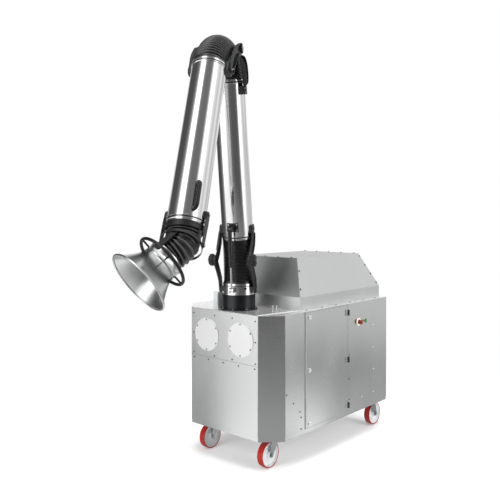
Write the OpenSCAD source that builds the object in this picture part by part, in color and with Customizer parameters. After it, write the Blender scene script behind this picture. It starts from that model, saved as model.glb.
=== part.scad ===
// Mobile fume filter unit with a two-section extraction arm.
// Stainless cabinet on four swivel castors, fan housing on its deck, and a jointed
// suction arm with ribbed hoses and a spun hood.
// Cabinet: X along its length, the arm at the low end; the door side faces -Y; Z up.
// Arm: drawn in its own upright plane, X outwards along the reach and Y across it.

/* [Cabinet] */
// Length of the cabinet
body_len = 1300; // [1200:10:1500]
// Width of the cabinet
body_wid = 800; // [740:10:900]
// Height of the cabinet without its castors
body_high = 750; // [730:10:850]
// Width of the sloped corners at the arm end, measured along each side
corner_cut = 115; // [80:5:140]
// Thickness of the folded sheets
sheet = 2; // [1.5:0.5:3]
// Depth of the fold along the top and bottom of each panel
fold_deep = 15; // [10:1:20]
// Height of the base tray
tray_high = 25; // [22:1:40]
// Thickness of the base tray and of the deck
plate = 3; // [2:0.5:4]
// Height of the seam between the two end panels, above the cabinet's base
end_seam = 447; // [420:1:460]
// Length of the inlet section, from the arm end to the dark seam
inlet_len = 306; // [290:1:320]
// Width of the dark seam beside the door
seam_w = 19; // [14:1:24]

/* [Blanked inlets] */
// Diameter of the blanking plates
blank_d = 208; // [200:1:220]
// Thickness of the blanking plates
blank_t = 3; // [2:0.5:4]
// Distance between the two inlets
blank_gap = 290; // [270:1:310]
// Height of the inlets above the cabinet's base
blank_z = 588; // [580:1:600]
// Diameter of the inlet openings behind the plates
port_d = 170; // [150:1:176]
// Pitch circle of the six screws of each plate
blank_pcd = 190; // [186:1:192]

/* [Door] */
// Width of the door
door_w = 460; // [440:1:480]
// Depth of the door pan
door_deep = 20; // [16:1:30]
// Gap between the door and the panels around it
door_gap = 5; // [3:0.5:7]
// Width of the lip that carries the seal
lip_w = 12; // [10:1:14]
// Thickness of the rubber seal
seal_t = 7; // [4:0.5:9]
// Heights of the three locks above the cabinet's base
lock_z = [49, 380, 711];
// Heights of the three hinges above the cabinet's base
hinge_z = [72, 378, 692];
// Distance of the locks from the door's free edge
lock_in = 33; // [31:1:38]
// Radius of the hinge knuckles
knuckle_r = 6; // [5:0.5:8]
// Diameter of the hinge pins
hinge_pin_d = 5; // [4:0.5:6]

/* [Controls] */
// Distance of the emergency stop from the door
stop_x = 134; // [120:1:150]
// Distance of the start button from the emergency stop
start_x = 83; // [60:1:100]
// Height of both buttons above the cabinet's base
button_z = 612; // [560:1:640]
// Diameter of the button stems
stem_d = 22; // [18:1:24]
// Diameter of the emergency stop's mushroom
mushroom_d = 32; // [28:1:40]

/* [Filter] */
// Thickness of the filter cassette along the air path
cassette_len = 292; // [250:1:296]
// Height of the filter cassette
cassette_high = 592; // [560:1:600]
// Depth of the filter cassette across the cabinet
cassette_deep = 592; // [560:1:610]

/* [Fan housing] */
// Distance from the arm end to the housing
house_back = 334; // [320:1:350]
// Distance from the rear end to the housing
house_rear = 10; // [10:1:60]
// Width of the housing's foot
house_wid = 690; // [640:1:700]
// Height of the upright skirt
skirt_high = 80; // [60:1:100]
// Whole height of the housing
house_high = 318; // [300:1:340]
// Inset of the roof at the arm end
slope_front = 100; // [80:1:140]
// Inset of the roof on both sides
slope_side = 100; // [80:1:120]
// Inset of the roof at the far end
slope_rear = 122; // [100:1:140]
// Diameter of the fan wheel
fan_d = 400; // [360:2:420]
// Height of the fan wheel
fan_high = 100; // [80:1:110]
// Number of fan blades
blades = 9; // [7:1:12]

/* [Castors] */
// Height of a castor from the floor to its mounting face
castor_high = 192; // [190:1:205]
// Diameter of the wheels
wheel_d = 160; // [150:1:160]
// Width of the wheels
wheel_w = 42; // [38:1:46]
// Trail of the wheel behind the swivel axis
trail = 50; // [40:1:56]
// Diameter of the axles
axle_d = 12; // [10:1:16]
// Distance of the front castors from the arm end
castor_front = 185; // [170:1:200]
// Distance of the rear castors from the rear end
castor_rear = 80; // [75:1:110]
// Spacing of the front castors across the cabinet
track_front = 500; // [440:1:540]
// Spacing of the rear castors across the cabinet
track_rear = 600; // [560:1:640]

/* [Arm] */
// Distance of the arm's axis from the arm end
arm_back = 145; // [135:1:150]
// Direction that the arm points in, seen from above
arm_swing = 205.9; // [190:0.1:230]
// Outer diameter of the tubes
tube_d = 195; // [180:1:198]
// Wall of the tubes
tube_wall = 1.5; // [1:0.5:3]
// Length of the inner tube
tube_len = 978; // [800:1:1100]
// Forward lean of the inner tube
lean = 11.3; // [6:0.1:20]
// Angle between the two tubes at the elbow
fold = 33.7; // [28:0.1:50]
// Forward offset of the lower pivot from the swivel axis
lift_s = 137; // [132:1:142]
// Height of the lower pivot above the floor
lift_high = 1260; // [1252:1:1268]
// Distance of the inner tube's axis behind the lower pivot
base_off = 137; // [132:1:142]
// Distance of the inner tube's lower end above the lower pivot
base_reach = 113; // [108:1:125]
// Distance of both tubes' axes outside the elbow pivot
elbow_off = 124; // [116:1:132]
// Distance of the inner tube's upper end below the elbow pivot
elbow_drop = 170; // [160:1:190]
// Distance of the outer tube's upper end below the elbow pivot
outer_drop = 148; // [140:1:160]
// Thickness of the black bracket plates
bracket_t = 5; // [4:0.5:6]
// Depth of the pressed rims along the outer brackets
rim_deep = 4; // [3:0.5:6]
// Depth of the pressed rims along the elbow's outer brackets
elbow_rim = 10; // [6:1:12]
// Side clearance between plates that turn on each other
bracket_gap = 0.6; // [0.4:0.1:1]
// Diameter of the two clamping knobs at the arm's foot
knob_d = 76; // [66:1:80]
// Thickness of the clamping knobs
knob_t = 34; // [26:1:38]
// Diameter of the arm's pivot pins
pivot_d = 16; // [12:1:18]

/* [Swivel] */
// Height of the fixed collar above the deck
collar_high = 96; // [90:1:100]
// Outer diameter of the fixed collar
collar_d = 208; // [204:1:212]
// Diameter of the collar's bolted flange
flange_d = 236; // [232:1:244]
// Height of the turning ring
ring_high = 74; // [70:1:78]
// Outer diameter of the turning ring
ring_d = 200; // [196:1:202]

/* [Hoses] */
// Outer diameter over the ribs of the base hose
hose_d = 196; // [188:1:200]
// Outer diameter over the ribs of the elbow hose
elbow_hose_d = 178; // [170:1:196]
// Outer diameter over the ribs of the hood hose
hood_hose_d = 178; // [170:1:182]
// Depth of the ribs
rib_deep = 6; // [4:0.5:8]
// Wall of the hoses under the ribs
hose_wall = 3; // [2:0.5:4]
// Spacing of the ribs on the base hose
base_pitch = 9.5; // [9:0.5:16]
// Spacing of the ribs on the elbow hose
elbow_pitch = 12.5; // [12:0.5:20]
// Spacing of the ribs on the hood hose
hood_pitch = 15; // [14:0.5:24]
// Length of the straight cuff at each end of a hose
cuff = 12; // [8:1:16]

/* [Gas spring] */
// Diameter of the cylinder
gas_d = 28; // [24:1:32]
// Length of the cylinder
gas_len = 215; // [200:1:225]
// Diameter of the rod
rod_d = 12; // [8:1:14]
// Forward offset of the upper eye from the lower pivot
gas_top_x = 24; // [20:1:30]
// Height of the upper eye above the lower pivot, along the tube
gas_top_z = 198; // [192:1:206]
// Forward offset of the lower eye from the swivel axis
gas_low_s = 158; // [150:1:162]
// Height of the lower eye above the ring's foot
gas_low_h = 36; // [30:1:40]

/* [Hood] */
// Distance of the hood's universal joint beyond the outer tube
gimbal_drop = 108; // [104:1:120]
// Distance of the universal joint in front of the outer tube's axis
gimbal_fore = 16; // [12:1:20]
// Forward tilt of the universal joint's ring against the outer tube
gimbal_tilt = 24.2; // [10:0.1:35]
// Sideways turn of the hood in the ring
hood_turn = -30; // [-34:0.5:20]
// Inner radius of the universal joint's ring
gimbal_r = 104; // [103:1:110]
// Width of the ring's band
gimbal_w = 16; // [14:1:20]
// Outer diameter of the hood's neck
neck_d = 192; // [184:1:196]
// Distance of the neck's mouth from the universal joint
neck_start = 80; // [76:1:84]
// Length of the neck
neck_len = 60; // [54:1:70]
// Length of the flare
flare_len = 147; // [120:1:170]
// Diameter of the hood's rim
rim_d = 336; // [300:1:360]
// Wall of the hood
hood_wall = 1.5; // [1:0.5:3]
// Diameter of the ring handle round the neck
grip_ring_d = 284; // [276:1:300]
// Thickness of the ring handle
grip_d = 16; // [12:1:20]

/* [Hidden] */
$fn = 64;
eps = 0.01;

// Clearances: between moving neighbours, and of a pin in its bore
run_gap = 0.3;
pin_gap = 0.05;
hose_gap = 0.1;
seam_gap = 0.15;

// Cabinet places
fx = -body_len / 2;
rx = body_len / 2;
hw = body_wid / 2;
z_base = castor_high;
z_tray = z_base + tray_high;
z_deck = z_base + body_high;
z_under = z_deck - plate;
seam_x = fx + inlet_len;
door_x0 = seam_x + seam_w;
door_x1 = door_x0 + door_w;
control_x = door_x1 + door_gap + 2;
hinge_x = (door_x1 + control_x) / 2;
hinge_y = -hw - knuckle_r - sheet;
seal_y = -hw + door_deep + seal_t;
frame_y = seal_y + run_gap;
wall_x = seam_x + seam_w / 3;
clean_x = control_x - sheet;
house_len = body_len - house_back - house_rear;

// Arm places, in the arm's own plane
arm_x = fx + arm_back;
ring_z = z_deck + collar_high + run_gap;
hose_z = ring_z + ring_high;
tube_r = tube_d / 2;
elbow_x = elbow_off - base_off;
elbow_z = base_reach + tube_len + elbow_drop;
outer_len = tube_len + elbow_drop - outer_drop;
plate_y = tube_r + 6;
outer_y = plate_y + bracket_t + bracket_gap;
outer_t = bracket_t + rim_deep;
knob_y = outer_y + outer_t + bracket_gap;
elbow_y = plate_y + 5;
elbow_out = elbow_y + bracket_t + bracket_gap;
elbow_t = bracket_t + elbow_rim;
gimbal_y = gimbal_r + plate + 3;
gas_low_z = ring_z + gas_low_h;

// Reach of the hood's rim and of the rear wheels, which centres the unit on its origin
hood_len = neck_start + neck_len + flare_len;
rim_bead = 5;
rim_r = rim_d / 2;
function turn_lean(p, a) = [p[0] * cos(a) + p[1] * sin(a), p[1] * cos(a) - p[0] * sin(a)];
outer_lean = lean - fold;
elbow_at = [lift_s, lift_high] + turn_lean([elbow_x, elbow_z], lean);
gimbal_local = [elbow_off + gimbal_fore, -(outer_drop + outer_len + gimbal_drop)];
gimbal_at = elbow_at + turn_lean(gimbal_local, outer_lean);
hood_lean = outer_lean - gimbal_tilt;
hood_down = turn_lean([0, -1], hood_lean);
hood_axis = [hood_down[0] * cos(hood_turn), sin(hood_turn), hood_down[1] * cos(hood_turn)];
rim_at = [gimbal_at[0], 0, gimbal_at[1]] + hood_len * hood_axis;
function swung(p) = [
    arm_x + p[0] * cos(arm_swing) - p[1] * sin(arm_swing),
    p[0] * sin(arm_swing) + p[1] * cos(arm_swing), p[2]
];
function swung_dir(p) = swung(p) - [arm_x, 0, 0];
rim_world = swung(rim_at);
axis_world = swung_dir(hood_axis);
function rim_reach(k) = rim_r * sqrt(1 - axis_world[k] * axis_world[k]) + rim_bead;
low_x = rim_world[0] - rim_reach(0);
low_y = rim_world[1] - rim_reach(1);
high_x = rx - castor_rear + trail + wheel_d / 2;
unit_x = -(low_x + high_x) / 2;
unit_y = -(low_y + hw) / 2;

// Shared forms

module placed() {
    translate([unit_x, unit_y, 0]) children();
}

module arm_plane() {
    placed() translate([arm_x, 0, 0]) rotate([0, 0, arm_swing]) children();
}

// Frame of the inner arm: origin on the lower pivot, Z along the tube
module inner_frame() {
    arm_plane() translate([lift_s, 0, lift_high]) rotate([0, lean, 0]) children();
}

// Frame of the outer arm: origin on the elbow pivot, Z up along the tube
module outer_frame() {
    inner_frame() translate([elbow_x, 0, elbow_z]) rotate([0, -fold, 0]) children();
}

// Frame of the universal joint's ring: X and Y are its two pivot axes
module gimbal_frame() {
    outer_frame() translate([gimbal_local[0], 0, gimbal_local[1]])
        rotate([0, -gimbal_tilt, 0]) children();
}

// Frame of the hood: its mouth faces -Z
module hood_frame() {
    gimbal_frame() rotate([hood_turn, 0, 0]) children();
}

// Plan of the cabinet, set in from its outside
module plan(inset) {
    c = corner_cut + inset * (sqrt(2) - 1);
    polygon([
        [fx + inset, -hw + c], [fx + c, -hw + inset], [rx - inset, -hw + inset],
        [rx - inset, hw - inset], [fx + c, hw - inset], [fx + inset, hw - c]
    ]);
}

// Upright sheet from p to q with its inside on the left, folded in at top and bottom
module wall_sheet(p, q, z0, z1, trim_p, trim_q) {
    d = norm(q - p);
    a = atan2(q[1] - p[1], q[0] - p[0]);
    translate([p[0], p[1], z0]) rotate([0, 0, a]) {
        translate([trim_p, 0, 0]) cube([d - trim_p - trim_q, sheet, z1 - z0]);
        for (z = [0, z1 - z0 - sheet])
            translate([trim_p + fold_deep, 0, z])
                cube([d - trim_p - trim_q - 2 * fold_deep, fold_deep, sheet]);
    }
}

function unit(v) = v / norm(v);
function tangents(p, r, q, s) =
    let (d = norm(q - p), u = unit(q - p), n = [-u[1], u[0]], c = (r - s) / d, k = sqrt(1 - c * c))
    [p + r * (c * u + k * n), p + r * (c * u - k * n), q + s * (c * u - k * n), q + s * (c * u + k * n)];

// Flat limb through a row of round joints, each [x, y, radius]. Its straight edges run a
// hair inside the rounds, so that they cross them cleanly
limb_ease = 0.3;
module limb(joints) {
    for (j = joints) translate([j[0], j[1]]) circle(r = j[2]);
    for (i = [0:len(joints) - 2]) {
        a = joints[i];
        b = joints[i + 1];
        polygon(tangents([a[0], a[1]], a[2] - limb_ease, [b[0], b[1]], b[2] - limb_ease));
    }
}

// Stands a flat form in the arm's plane, from y to y + t
module upright(y, t) {
    translate([0, y + t, 0]) rotate([90, 0, 0]) linear_extrude(t) children();
}

// Limb pressed with a raised rim on its outer side, from y outwards
module rimmed(y, deep, joints) {
    difference() {
        upright(y, bracket_t + deep) limb(joints);
        upright(y + bracket_t, deep + 1) limb([for (j = joints) [j[0], j[1], j[2] - rim_t]]);
    }
}
rim_t = 4;

module both_sides() {
    children();
    mirror([0, 1, 0]) children();
}

// Cylinder along Y from y0 to y1, round the point x, z
module across(x, z, r, y0, y1) {
    translate([x, y0, z]) rotate([-90, 0, 0]) cylinder(r = r, h = y1 - y0);
}

module tube(r, wall, h) {
    difference() {
        cylinder(r = r, h = h);
        translate([0, 0, -1]) cylinder(r = r - wall, h = h + 2);
    }
}

// Ribbed hose along a flat curve. Each station is [x, z, lean]; the skin swells at every
// second station, and the bore follows every fourth. A cuff is the radius of a plain end
hose_sides = 16;
function hose_ring(s, r) = [
    for (i = [0:hose_sides - 1])
        let (a = 360 * (i + 0.5) / hose_sides, c = turn_lean([r * cos(a), 0], s[2]))
        [s[0] + c[0], r * sin(a), s[1] + c[1]]
];
module ribbed_hose(stations, r, first_cuff = 0, last_cuff = 0, last_rings = 2) {
    n = len(stations);
    bores = concat([for (i = [n - 1:-4:1]) i], [0]);
    skin = [
        for (i = [0:n - 1])
            let (root = i < 2 || i > n - 3 || i % 2 == 1, plain = root ? r - rib_deep : r)
            hose_ring(stations[i], i < 2 && first_cuff > 0 ? first_cuff : i >= n - last_rings && last_cuff > 0 ? last_cuff : plain)
    ];
    bore = [for (i = bores) hose_ring(stations[i], r - rib_deep - hose_wall)];
    rings = concat(skin, bore);
    m = len(rings);
    points = [for (ring = rings) each ring];
    faces = [
        for (k = [0:m - 1], i = [0:hose_sides - 1])
            let (
                j = (i + 1) % hose_sides, l = (k + 1) % m,
                a = k * hose_sides + i, b = k * hose_sides + j,
                c = l * hose_sides + j, d = l * hose_sides + i
            )
            each [[a, c, b], [a, d, c]]
    ];
    polyhedron(points, faces);
}

// Even number of steps that gives ribs of about the pitch along a length
function rib_steps(length, pitch) = 2 * floor(length / pitch);

// Stations along a curve that leaves p with lean a and meets q with lean b
function bend_at(p, a, q, b, t, pull) =
    let (
        k = pull * norm(q - p), u = k * [sin(a), cos(a)], v = k * [sin(b), cos(b)],
        h = 3 * t * t - 2 * t * t * t,
        pos = p + h * (q - p) + (t - 2 * t * t + t * t * t) * u + (t * t * t - t * t) * v,
        d = (6 * t - 6 * t * t) * (q - p) + (1 - 4 * t + 3 * t * t) * u + (3 * t * t - 2 * t) * v
    )
    [pos[0], pos[1], atan2(d[0], d[1])];
function bend_stations(p, a, q, b, steps, pull = 1) = [for (i = [0:steps]) bend_at(p, a, q, b, i / steps, pull)];

// Round head on the cabinet's near side at x and height z
module near_screw(x, z, r = screw_r, h = screw_h) {
    translate([x, -hw - h, z]) rotate([-90, 0, 0]) cylinder(r = r, h = h);
}
screw_r = 5;
screw_h = 2.5;

// Cabinet

module base_frame() {
    color("gainsboro") placed() difference() {
        translate([0, 0, z_base]) linear_extrude(tray_high) plan(sheet);
        difference() {
            translate([0, 0, z_base - 1]) linear_extrude(tray_high - plate + 1) plan(sheet + plate);
            for (x = [fx + castor_front, rx - castor_rear])
                translate([x - channel_w / 2, -hw, z_base]) cube([channel_w, body_wid, plate]);
            for (x = [fx + castor_front, rx - castor_rear], s = [-1, 1])
                translate([x + s * (channel_w - plate) / 2 - plate / 2, -hw, z_base])
                    cube([plate, body_wid, tray_high]);
        }
    }
}
channel_w = 130;

// Castor swivel axes: [x, y, direction of the wheel's trail]
castors = [
    [fx + castor_front, -track_front / 2, 180],
    [fx + castor_front, track_front / 2, 180],
    [rx - castor_rear, -track_rear / 2, 0],
    [rx - castor_rear, track_rear / 2, 0]
];
race_r = 34;
crown_t = 6;
crown_z = wheel_d + 5;
race_z = crown_z + crown_t + 8;
pin_r = 8;

module castor_plates() {
    color("silver") placed() for (c = castors) translate([c[0], c[1], 0]) {
        translate([-60, -50, z_base - 4]) cube([120, 100, 4]);
        translate([0, 0, race_z + run_gap]) cylinder(r = race_r, h = z_base - 4 - race_z - run_gap);
        translate([0, 0, crown_z - 2]) cylinder(r = pin_r, h = z_base - crown_z);
        translate([0, 0, crown_z - 10]) cylinder(r = 12, h = 10 - run_gap, $fn = 6);
    }
}

module castor_frame(i) {
    placed() translate([castors[i][0], castors[i][1], 0]) rotate([0, 0, castors[i][2]]) children();
}

leg_t = 4;
leg_y = wheel_w / 2 + 5;
axle_z = wheel_d / 2;
axle_r = axle_d / 2;

module fork(i) {
    color("darkgray") castor_frame(i) {
        difference() {
            union() {
                translate([0, 0, crown_z]) linear_extrude(crown_t) union() {
                    circle(r = 42);
                    translate([0, -leg_y - leg_t]) square([trail * 0.9, 2 * (leg_y + leg_t)]);
                }
                translate([0, 0, crown_z + crown_t - eps]) cylinder(r = race_r, h = 8 + eps);
            }
            translate([0, 0, crown_z - 1]) cylinder(r = pin_r + pin_gap, h = crown_t + 12);
        }
        both_sides() {
            upright(leg_y, leg_t) union() {
                polygon([
                    [-26, crown_z + crown_t], [trail * 0.9, crown_z + crown_t], [trail + 17, axle_z],
                    [trail - 17, axle_z]
                ]);
                translate([trail, axle_z]) circle(r = 17);
            }
            across(trail, axle_z, axle_r + 4, leg_y + leg_t, leg_y + leg_t + 6);
        }
        across(trail, axle_z, axle_r, -leg_y - eps, leg_y + eps);
    }
}

tread_t = 7;
module wheel(i) {
    rim_out = wheel_d / 2 - tread_t;
    half = wheel_w / 2 - 2;
    color("whitesmoke") castor_frame(i) translate([trail, 0, axle_z]) rotate([90, 0, 0])
        rotate_extrude() polygon([
            [axle_r + pin_gap, -leg_y + 0.5], [20, -leg_y + 0.5], [24, -8], [38, -6], [40, -9],
            [44, -9], [46, -6], [rim_out - 8, -8], [rim_out - 6, -half], [rim_out, -half],
            [rim_out, half], [rim_out - 6, half], [rim_out - 8, 8], [46, 6], [44, 9], [40, 9],
            [38, 6], [24, 8], [20, leg_y - 0.5], [axle_r + pin_gap, leg_y - 0.5]
        ]);
}

module tyre(i) {
    rim_out = wheel_d / 2 - tread_t;
    half = wheel_w / 2;
    round_r = 3;
    color("firebrick") castor_frame(i) translate([trail, 0, axle_z]) rotate([90, 0, 0])
        rotate_extrude() {
            translate([rim_out, -half]) square([tread_t - round_r, wheel_w]);
            translate([rim_out, -half + round_r]) square([tread_t, wheel_w - 2 * round_r]);
            for (s = [-1, 1]) translate([wheel_d / 2 - round_r, s * (half - round_r)]) circle(r = round_r);
        }
}

module front_panel() {
    color("silver") placed()
        wall_sheet([fx, hw - corner_cut], [fx, -hw + corner_cut], z_tray, z_base + end_seam - seam_gap, sheet / 2, sheet / 2);
}

module inlet_panel() {
    color("silver") placed() difference() {
        wall_sheet([fx, hw - corner_cut], [fx, -hw + corner_cut], z_base + end_seam + seam_gap, z_under, sheet / 2, sheet / 2);
        for (s = [-1, 1]) translate([fx - 1, s * blank_gap / 2, z_base + blank_z])
            rotate([0, 90, 0]) cylinder(d = port_d, h = sheet + 2);
    }
}

module blanking_plates() {
    color("gainsboro") placed() for (s = [-1, 1])
        translate([fx - blank_t, s * blank_gap / 2, z_base + blank_z])
            rotate([0, 90, 0]) cylinder(d = blank_d, h = blank_t);
}

module corner_panels() {
    color("silver") placed() {
        wall_sheet([fx, -hw + corner_cut], [fx + corner_cut, -hw], z_tray, z_under, sheet / 2, sheet / 2);
        wall_sheet([fx + corner_cut, hw], [fx, hw - corner_cut], z_tray, z_under, sheet / 2, sheet / 2);
    }
}

module side_panel_near() {
    color("silver") placed()
        wall_sheet([fx + corner_cut, -hw], [seam_x, -hw], z_tray, z_under, sheet / 2, 0);
}

module side_panel_far() {
    color("silver") placed()
        wall_sheet([rx, hw], [fx + corner_cut, hw], z_tray, z_under, 0, sheet / 2);
}

stop_at = control_x + stop_x;
start_at = stop_at + start_x;
module control_panel() {
    color("silver") placed() difference() {
        wall_sheet([control_x, -hw], [rx, -hw], z_tray, z_under, 0, 0);
        for (x = [stop_at, start_at])
            across(x, z_base + button_z, stem_d / 2 + run_gap, -hw - 1, -hw + sheet + 1);
    }
}

gland_y = 250;
gland_z = 110;
gland_r = 6.5;
gland_len = 34;
module rear_panel() {
    color("silver") placed() difference() {
        wall_sheet([rx, -hw + sheet], [rx, hw - sheet], z_tray, z_under, 0, 0);
        translate([rx - sheet - 1, gland_y, z_base + gland_z]) rotate([0, 90, 0])
            cylinder(r = gland_r + 4, h = sheet + 2);
    }
}

// The fan's eye lies wholly over the clean side, just past the rear bulkhead
fan_eye_r = fan_d * 0.36;
fan_x = clean_x + fan_eye_r + 14;
duct_r = ring_d / 2 - 7;
module top_deck() {
    color("gainsboro") placed() difference() {
        translate([0, 0, z_under]) linear_extrude(plate) plan(0);
        translate([arm_x, 0, z_under - 1]) cylinder(r = duct_r, h = plate + 2);
        translate([fan_x, 0, z_under - 1]) cylinder(r = fan_eye_r, h = plate + 2);
    }
}

// Filter chamber: the two bulkheads, the door frame with its sealing face, and the shelf
shelf_z = z_tray + 66;
seat_len = 36;
cassette_x1 = clean_x - seat_len;
window = 540;
module filter_chamber() {
    high = z_under - z_tray;
    window_z = shelf_z + cassette_high / 2 - window / 2;
    color("dimgray") placed() {
        difference() {
            translate([wall_x, -hw + sheet + 4, z_tray]) cube([sheet, body_wid - 2 * sheet - 4, high]);
            translate([wall_x - 1, -window / 2, window_z]) cube([sheet + 2, window, window]);
            far_folds();
        }
        difference() {
            union() {
                translate([clean_x - sheet, frame_y, z_tray]) cube([sheet, hw - sheet - frame_y, high]);
                translate([cassette_x1 + run_gap, -window / 2 - 20, window_z - 20])
                    cube([seat_len - sheet - run_gap, window + 40, window + 40]);
            }
            translate([cassette_x1, -window / 2, window_z]) cube([seat_len + 2, window, window]);
            far_folds();
        }
        difference() {
            translate([wall_x + sheet, frame_y, z_tray]) cube([clean_x - 2 * sheet - wall_x, plate, high]);
            translate([door_x0 + 21, frame_y - 1, z_tray + door_gap + lip_w])
                cube([door_w - 57, plate + 2, high - 2 * door_gap - 2 * lip_w]);
        }
        difference() {
            translate([wall_x + sheet, -cassette_deep / 2, z_tray])
                cube([clean_x - 2 * sheet - wall_x, cassette_deep, shelf_z - z_tray]);
            translate([wall_x + sheet + plate, -cassette_deep / 2 - 1, z_tray - 1])
                cube([clean_x - 2 * sheet - wall_x - 2 * plate, cassette_deep + 2, shelf_z - z_tray - sheet + 1]);
        }
    }
}

// Room for the folds of the far side panel
module far_folds() {
    for (z = [z_tray, z_under - sheet]) translate([wall_x - 1, hw - sheet - fold_deep, z])
        cube([clean_x - wall_x + 2, fold_deep + 1, sheet]);
}

// Sloped plate that guides coarse dust down to the floor of the inlet section
hopper_top = 400;
module hopper_plate() {
    top_x = fx + sheet + 1;
    low_x = seam_x - 35;
    top_z = z_base + hopper_top;
    low_z = top_z - (low_x - top_x);
    color("silver") placed() intersection() {
        translate([0, hw, 0]) rotate([90, 0, 0]) linear_extrude(body_wid) polygon([
            [top_x, top_z], [low_x, low_z], [low_x, z_tray + sheet], [low_x - sheet, z_tray + sheet],
            [low_x - sheet, low_z - sheet / 2], [top_x, top_z - 1.5 * sheet]
        ]);
        translate([0, 0, z_tray]) linear_extrude(body_high) plan(sheet);
    }
}

// Cassette: a metal case round a pack of pleats that shows on both faces
module filter_cassette() {
    x0 = cassette_x1 - cassette_len;
    case_w = 18;
    pleats = 24;
    step = (cassette_deep - 2 * case_w) / pleats;
    color("lightsteelblue") placed() difference() {
        translate([x0, -cassette_deep / 2, shelf_z]) cube([cassette_len, cassette_deep, cassette_high]);
        for (face = [x0 - 1, cassette_x1 - 24], i = [0:pleats - 1])
            translate([face, -cassette_deep / 2 + case_w + i * step + step / 4, shelf_z + case_w])
                cube([25, step / 2, cassette_high - 2 * case_w]);
    }
}

// Six-sided outline of the fan housing, set in from its outside
function house_ring(inset, front, side, rear, z) =
    let (x0 = fx + house_back + front + inset, x1 = fx + house_back + house_len - rear - inset,
        y = house_wid / 2 - side - inset)
    [[x0, -y, z], [x1, -y, z], [x1, y, z], [x0, y, z]];
module house_block(inset, drop) {
    points = concat(
        house_ring(inset, 0, 0, 0, z_deck - drop),
        house_ring(inset, 0, 0, 0, z_deck + skirt_high),
        house_ring(inset, slope_front, slope_side, slope_rear, z_deck + house_high - (inset > 0 ? sheet : 0))
    );
    polyhedron(points, [
        [0, 1, 2, 3], [11, 10, 9, 8],
        for (k = [0, 4], i = [0:3]) [k + 4 + i, k + 4 + (i + 1) % 4, k + (i + 1) % 4, k + i]
    ]);
}

grille_w = 420;
grille_h = 150;
rear_tilt = atan2(slope_rear, house_high - skirt_high);
rear_slope = norm([slope_rear, house_high - skirt_high]);
module rear_face() {
    translate([fx + house_back + house_len, 0, z_deck + skirt_high]) rotate([0, -rear_tilt, 0])
        translate([0, 0, rear_slope / 2]) children();
}
module fan_housing() {
    color("silver") placed() difference() {
        house_block(0, 0);
        house_block(sheet + 1, 1);
        rear_face() translate([-20, -grille_w / 2, -grille_h / 2]) cube([40, grille_w, grille_h]);
    }
}

// Outlet grille: a frame on the rear slope with upright slots
module outlet_grille() {
    slots = 18;
    border = 20;
    step = (grille_w - 2 * border + 40) / slots;
    color("gray") placed() rear_face() difference() {
        translate([0, -grille_w / 2 - border, -grille_h / 2 - border])
            cube([sheet, grille_w + 2 * border, grille_h + 2 * border]);
        for (i = [0:slots - 1])
            translate([-1, -grille_w / 2 + i * step + step / 4, -grille_h / 2 + 8])
                cube([sheet + 2, step / 2, grille_h - 16]);
    }
}

// The motor stands on a bridge over the wheel, which hangs a little above the deck
shaft_r = 12;
wheel_lift = 46;
wheel_room = 30;
bridge_z = z_deck + wheel_lift + fan_high + wheel_room;
module fan_motor() {
    bridge_y = fan_d / 2 + 30;
    color("slategray") placed() translate([fan_x, 0, 0]) difference() {
        union() {
            translate([-50, -bridge_y, bridge_z]) cube([100, 2 * bridge_y, 6]);
            for (s = [-1, 1]) translate([-50, s * bridge_y - 3, z_deck]) cube([100, 6, bridge_z - z_deck + 6]);
            translate([0, 0, bridge_z]) cylinder(r = 80, h = 106);
            for (i = [0:17]) rotate([0, 0, i * 20]) translate([78, -1.5, bridge_z + 20]) cube([8, 3, 76]);
        }
        translate([0, 0, bridge_z - 1]) cylinder(r = shaft_r + pin_gap, h = 41);
    }
}

// Fan wheel: backward curved blades between a back plate and an inlet shroud
module fan_wheel() {
    wheel_z = z_deck + wheel_lift;
    color("lightslategray") placed() translate([fan_x, 0, wheel_z]) {
        difference() {
            cylinder(r = fan_d / 2, h = 3);
            translate([0, 0, -1]) cylinder(r = fan_eye_r - 4, h = 5);
        }
        translate([0, 0, fan_high - 3]) cylinder(r = fan_d / 2, h = 3);
        for (i = [0:blades - 1]) rotate([0, 0, i * 360 / blades])
            translate([fan_d * 0.26, fan_d * 0.25, 3 - eps]) rotate([0, 0, -65])
                rotate_extrude(angle = 29) translate([fan_d * 0.275, 0]) square([2.5, fan_high - 6 + 2 * eps]);
        translate([0, 0, fan_high - 30]) cylinder(r = 32, h = 30);
        translate([0, 0, fan_high - 1]) cylinder(r = shaft_r, h = bridge_z - wheel_z - fan_high + 38);
    }
}

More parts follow.
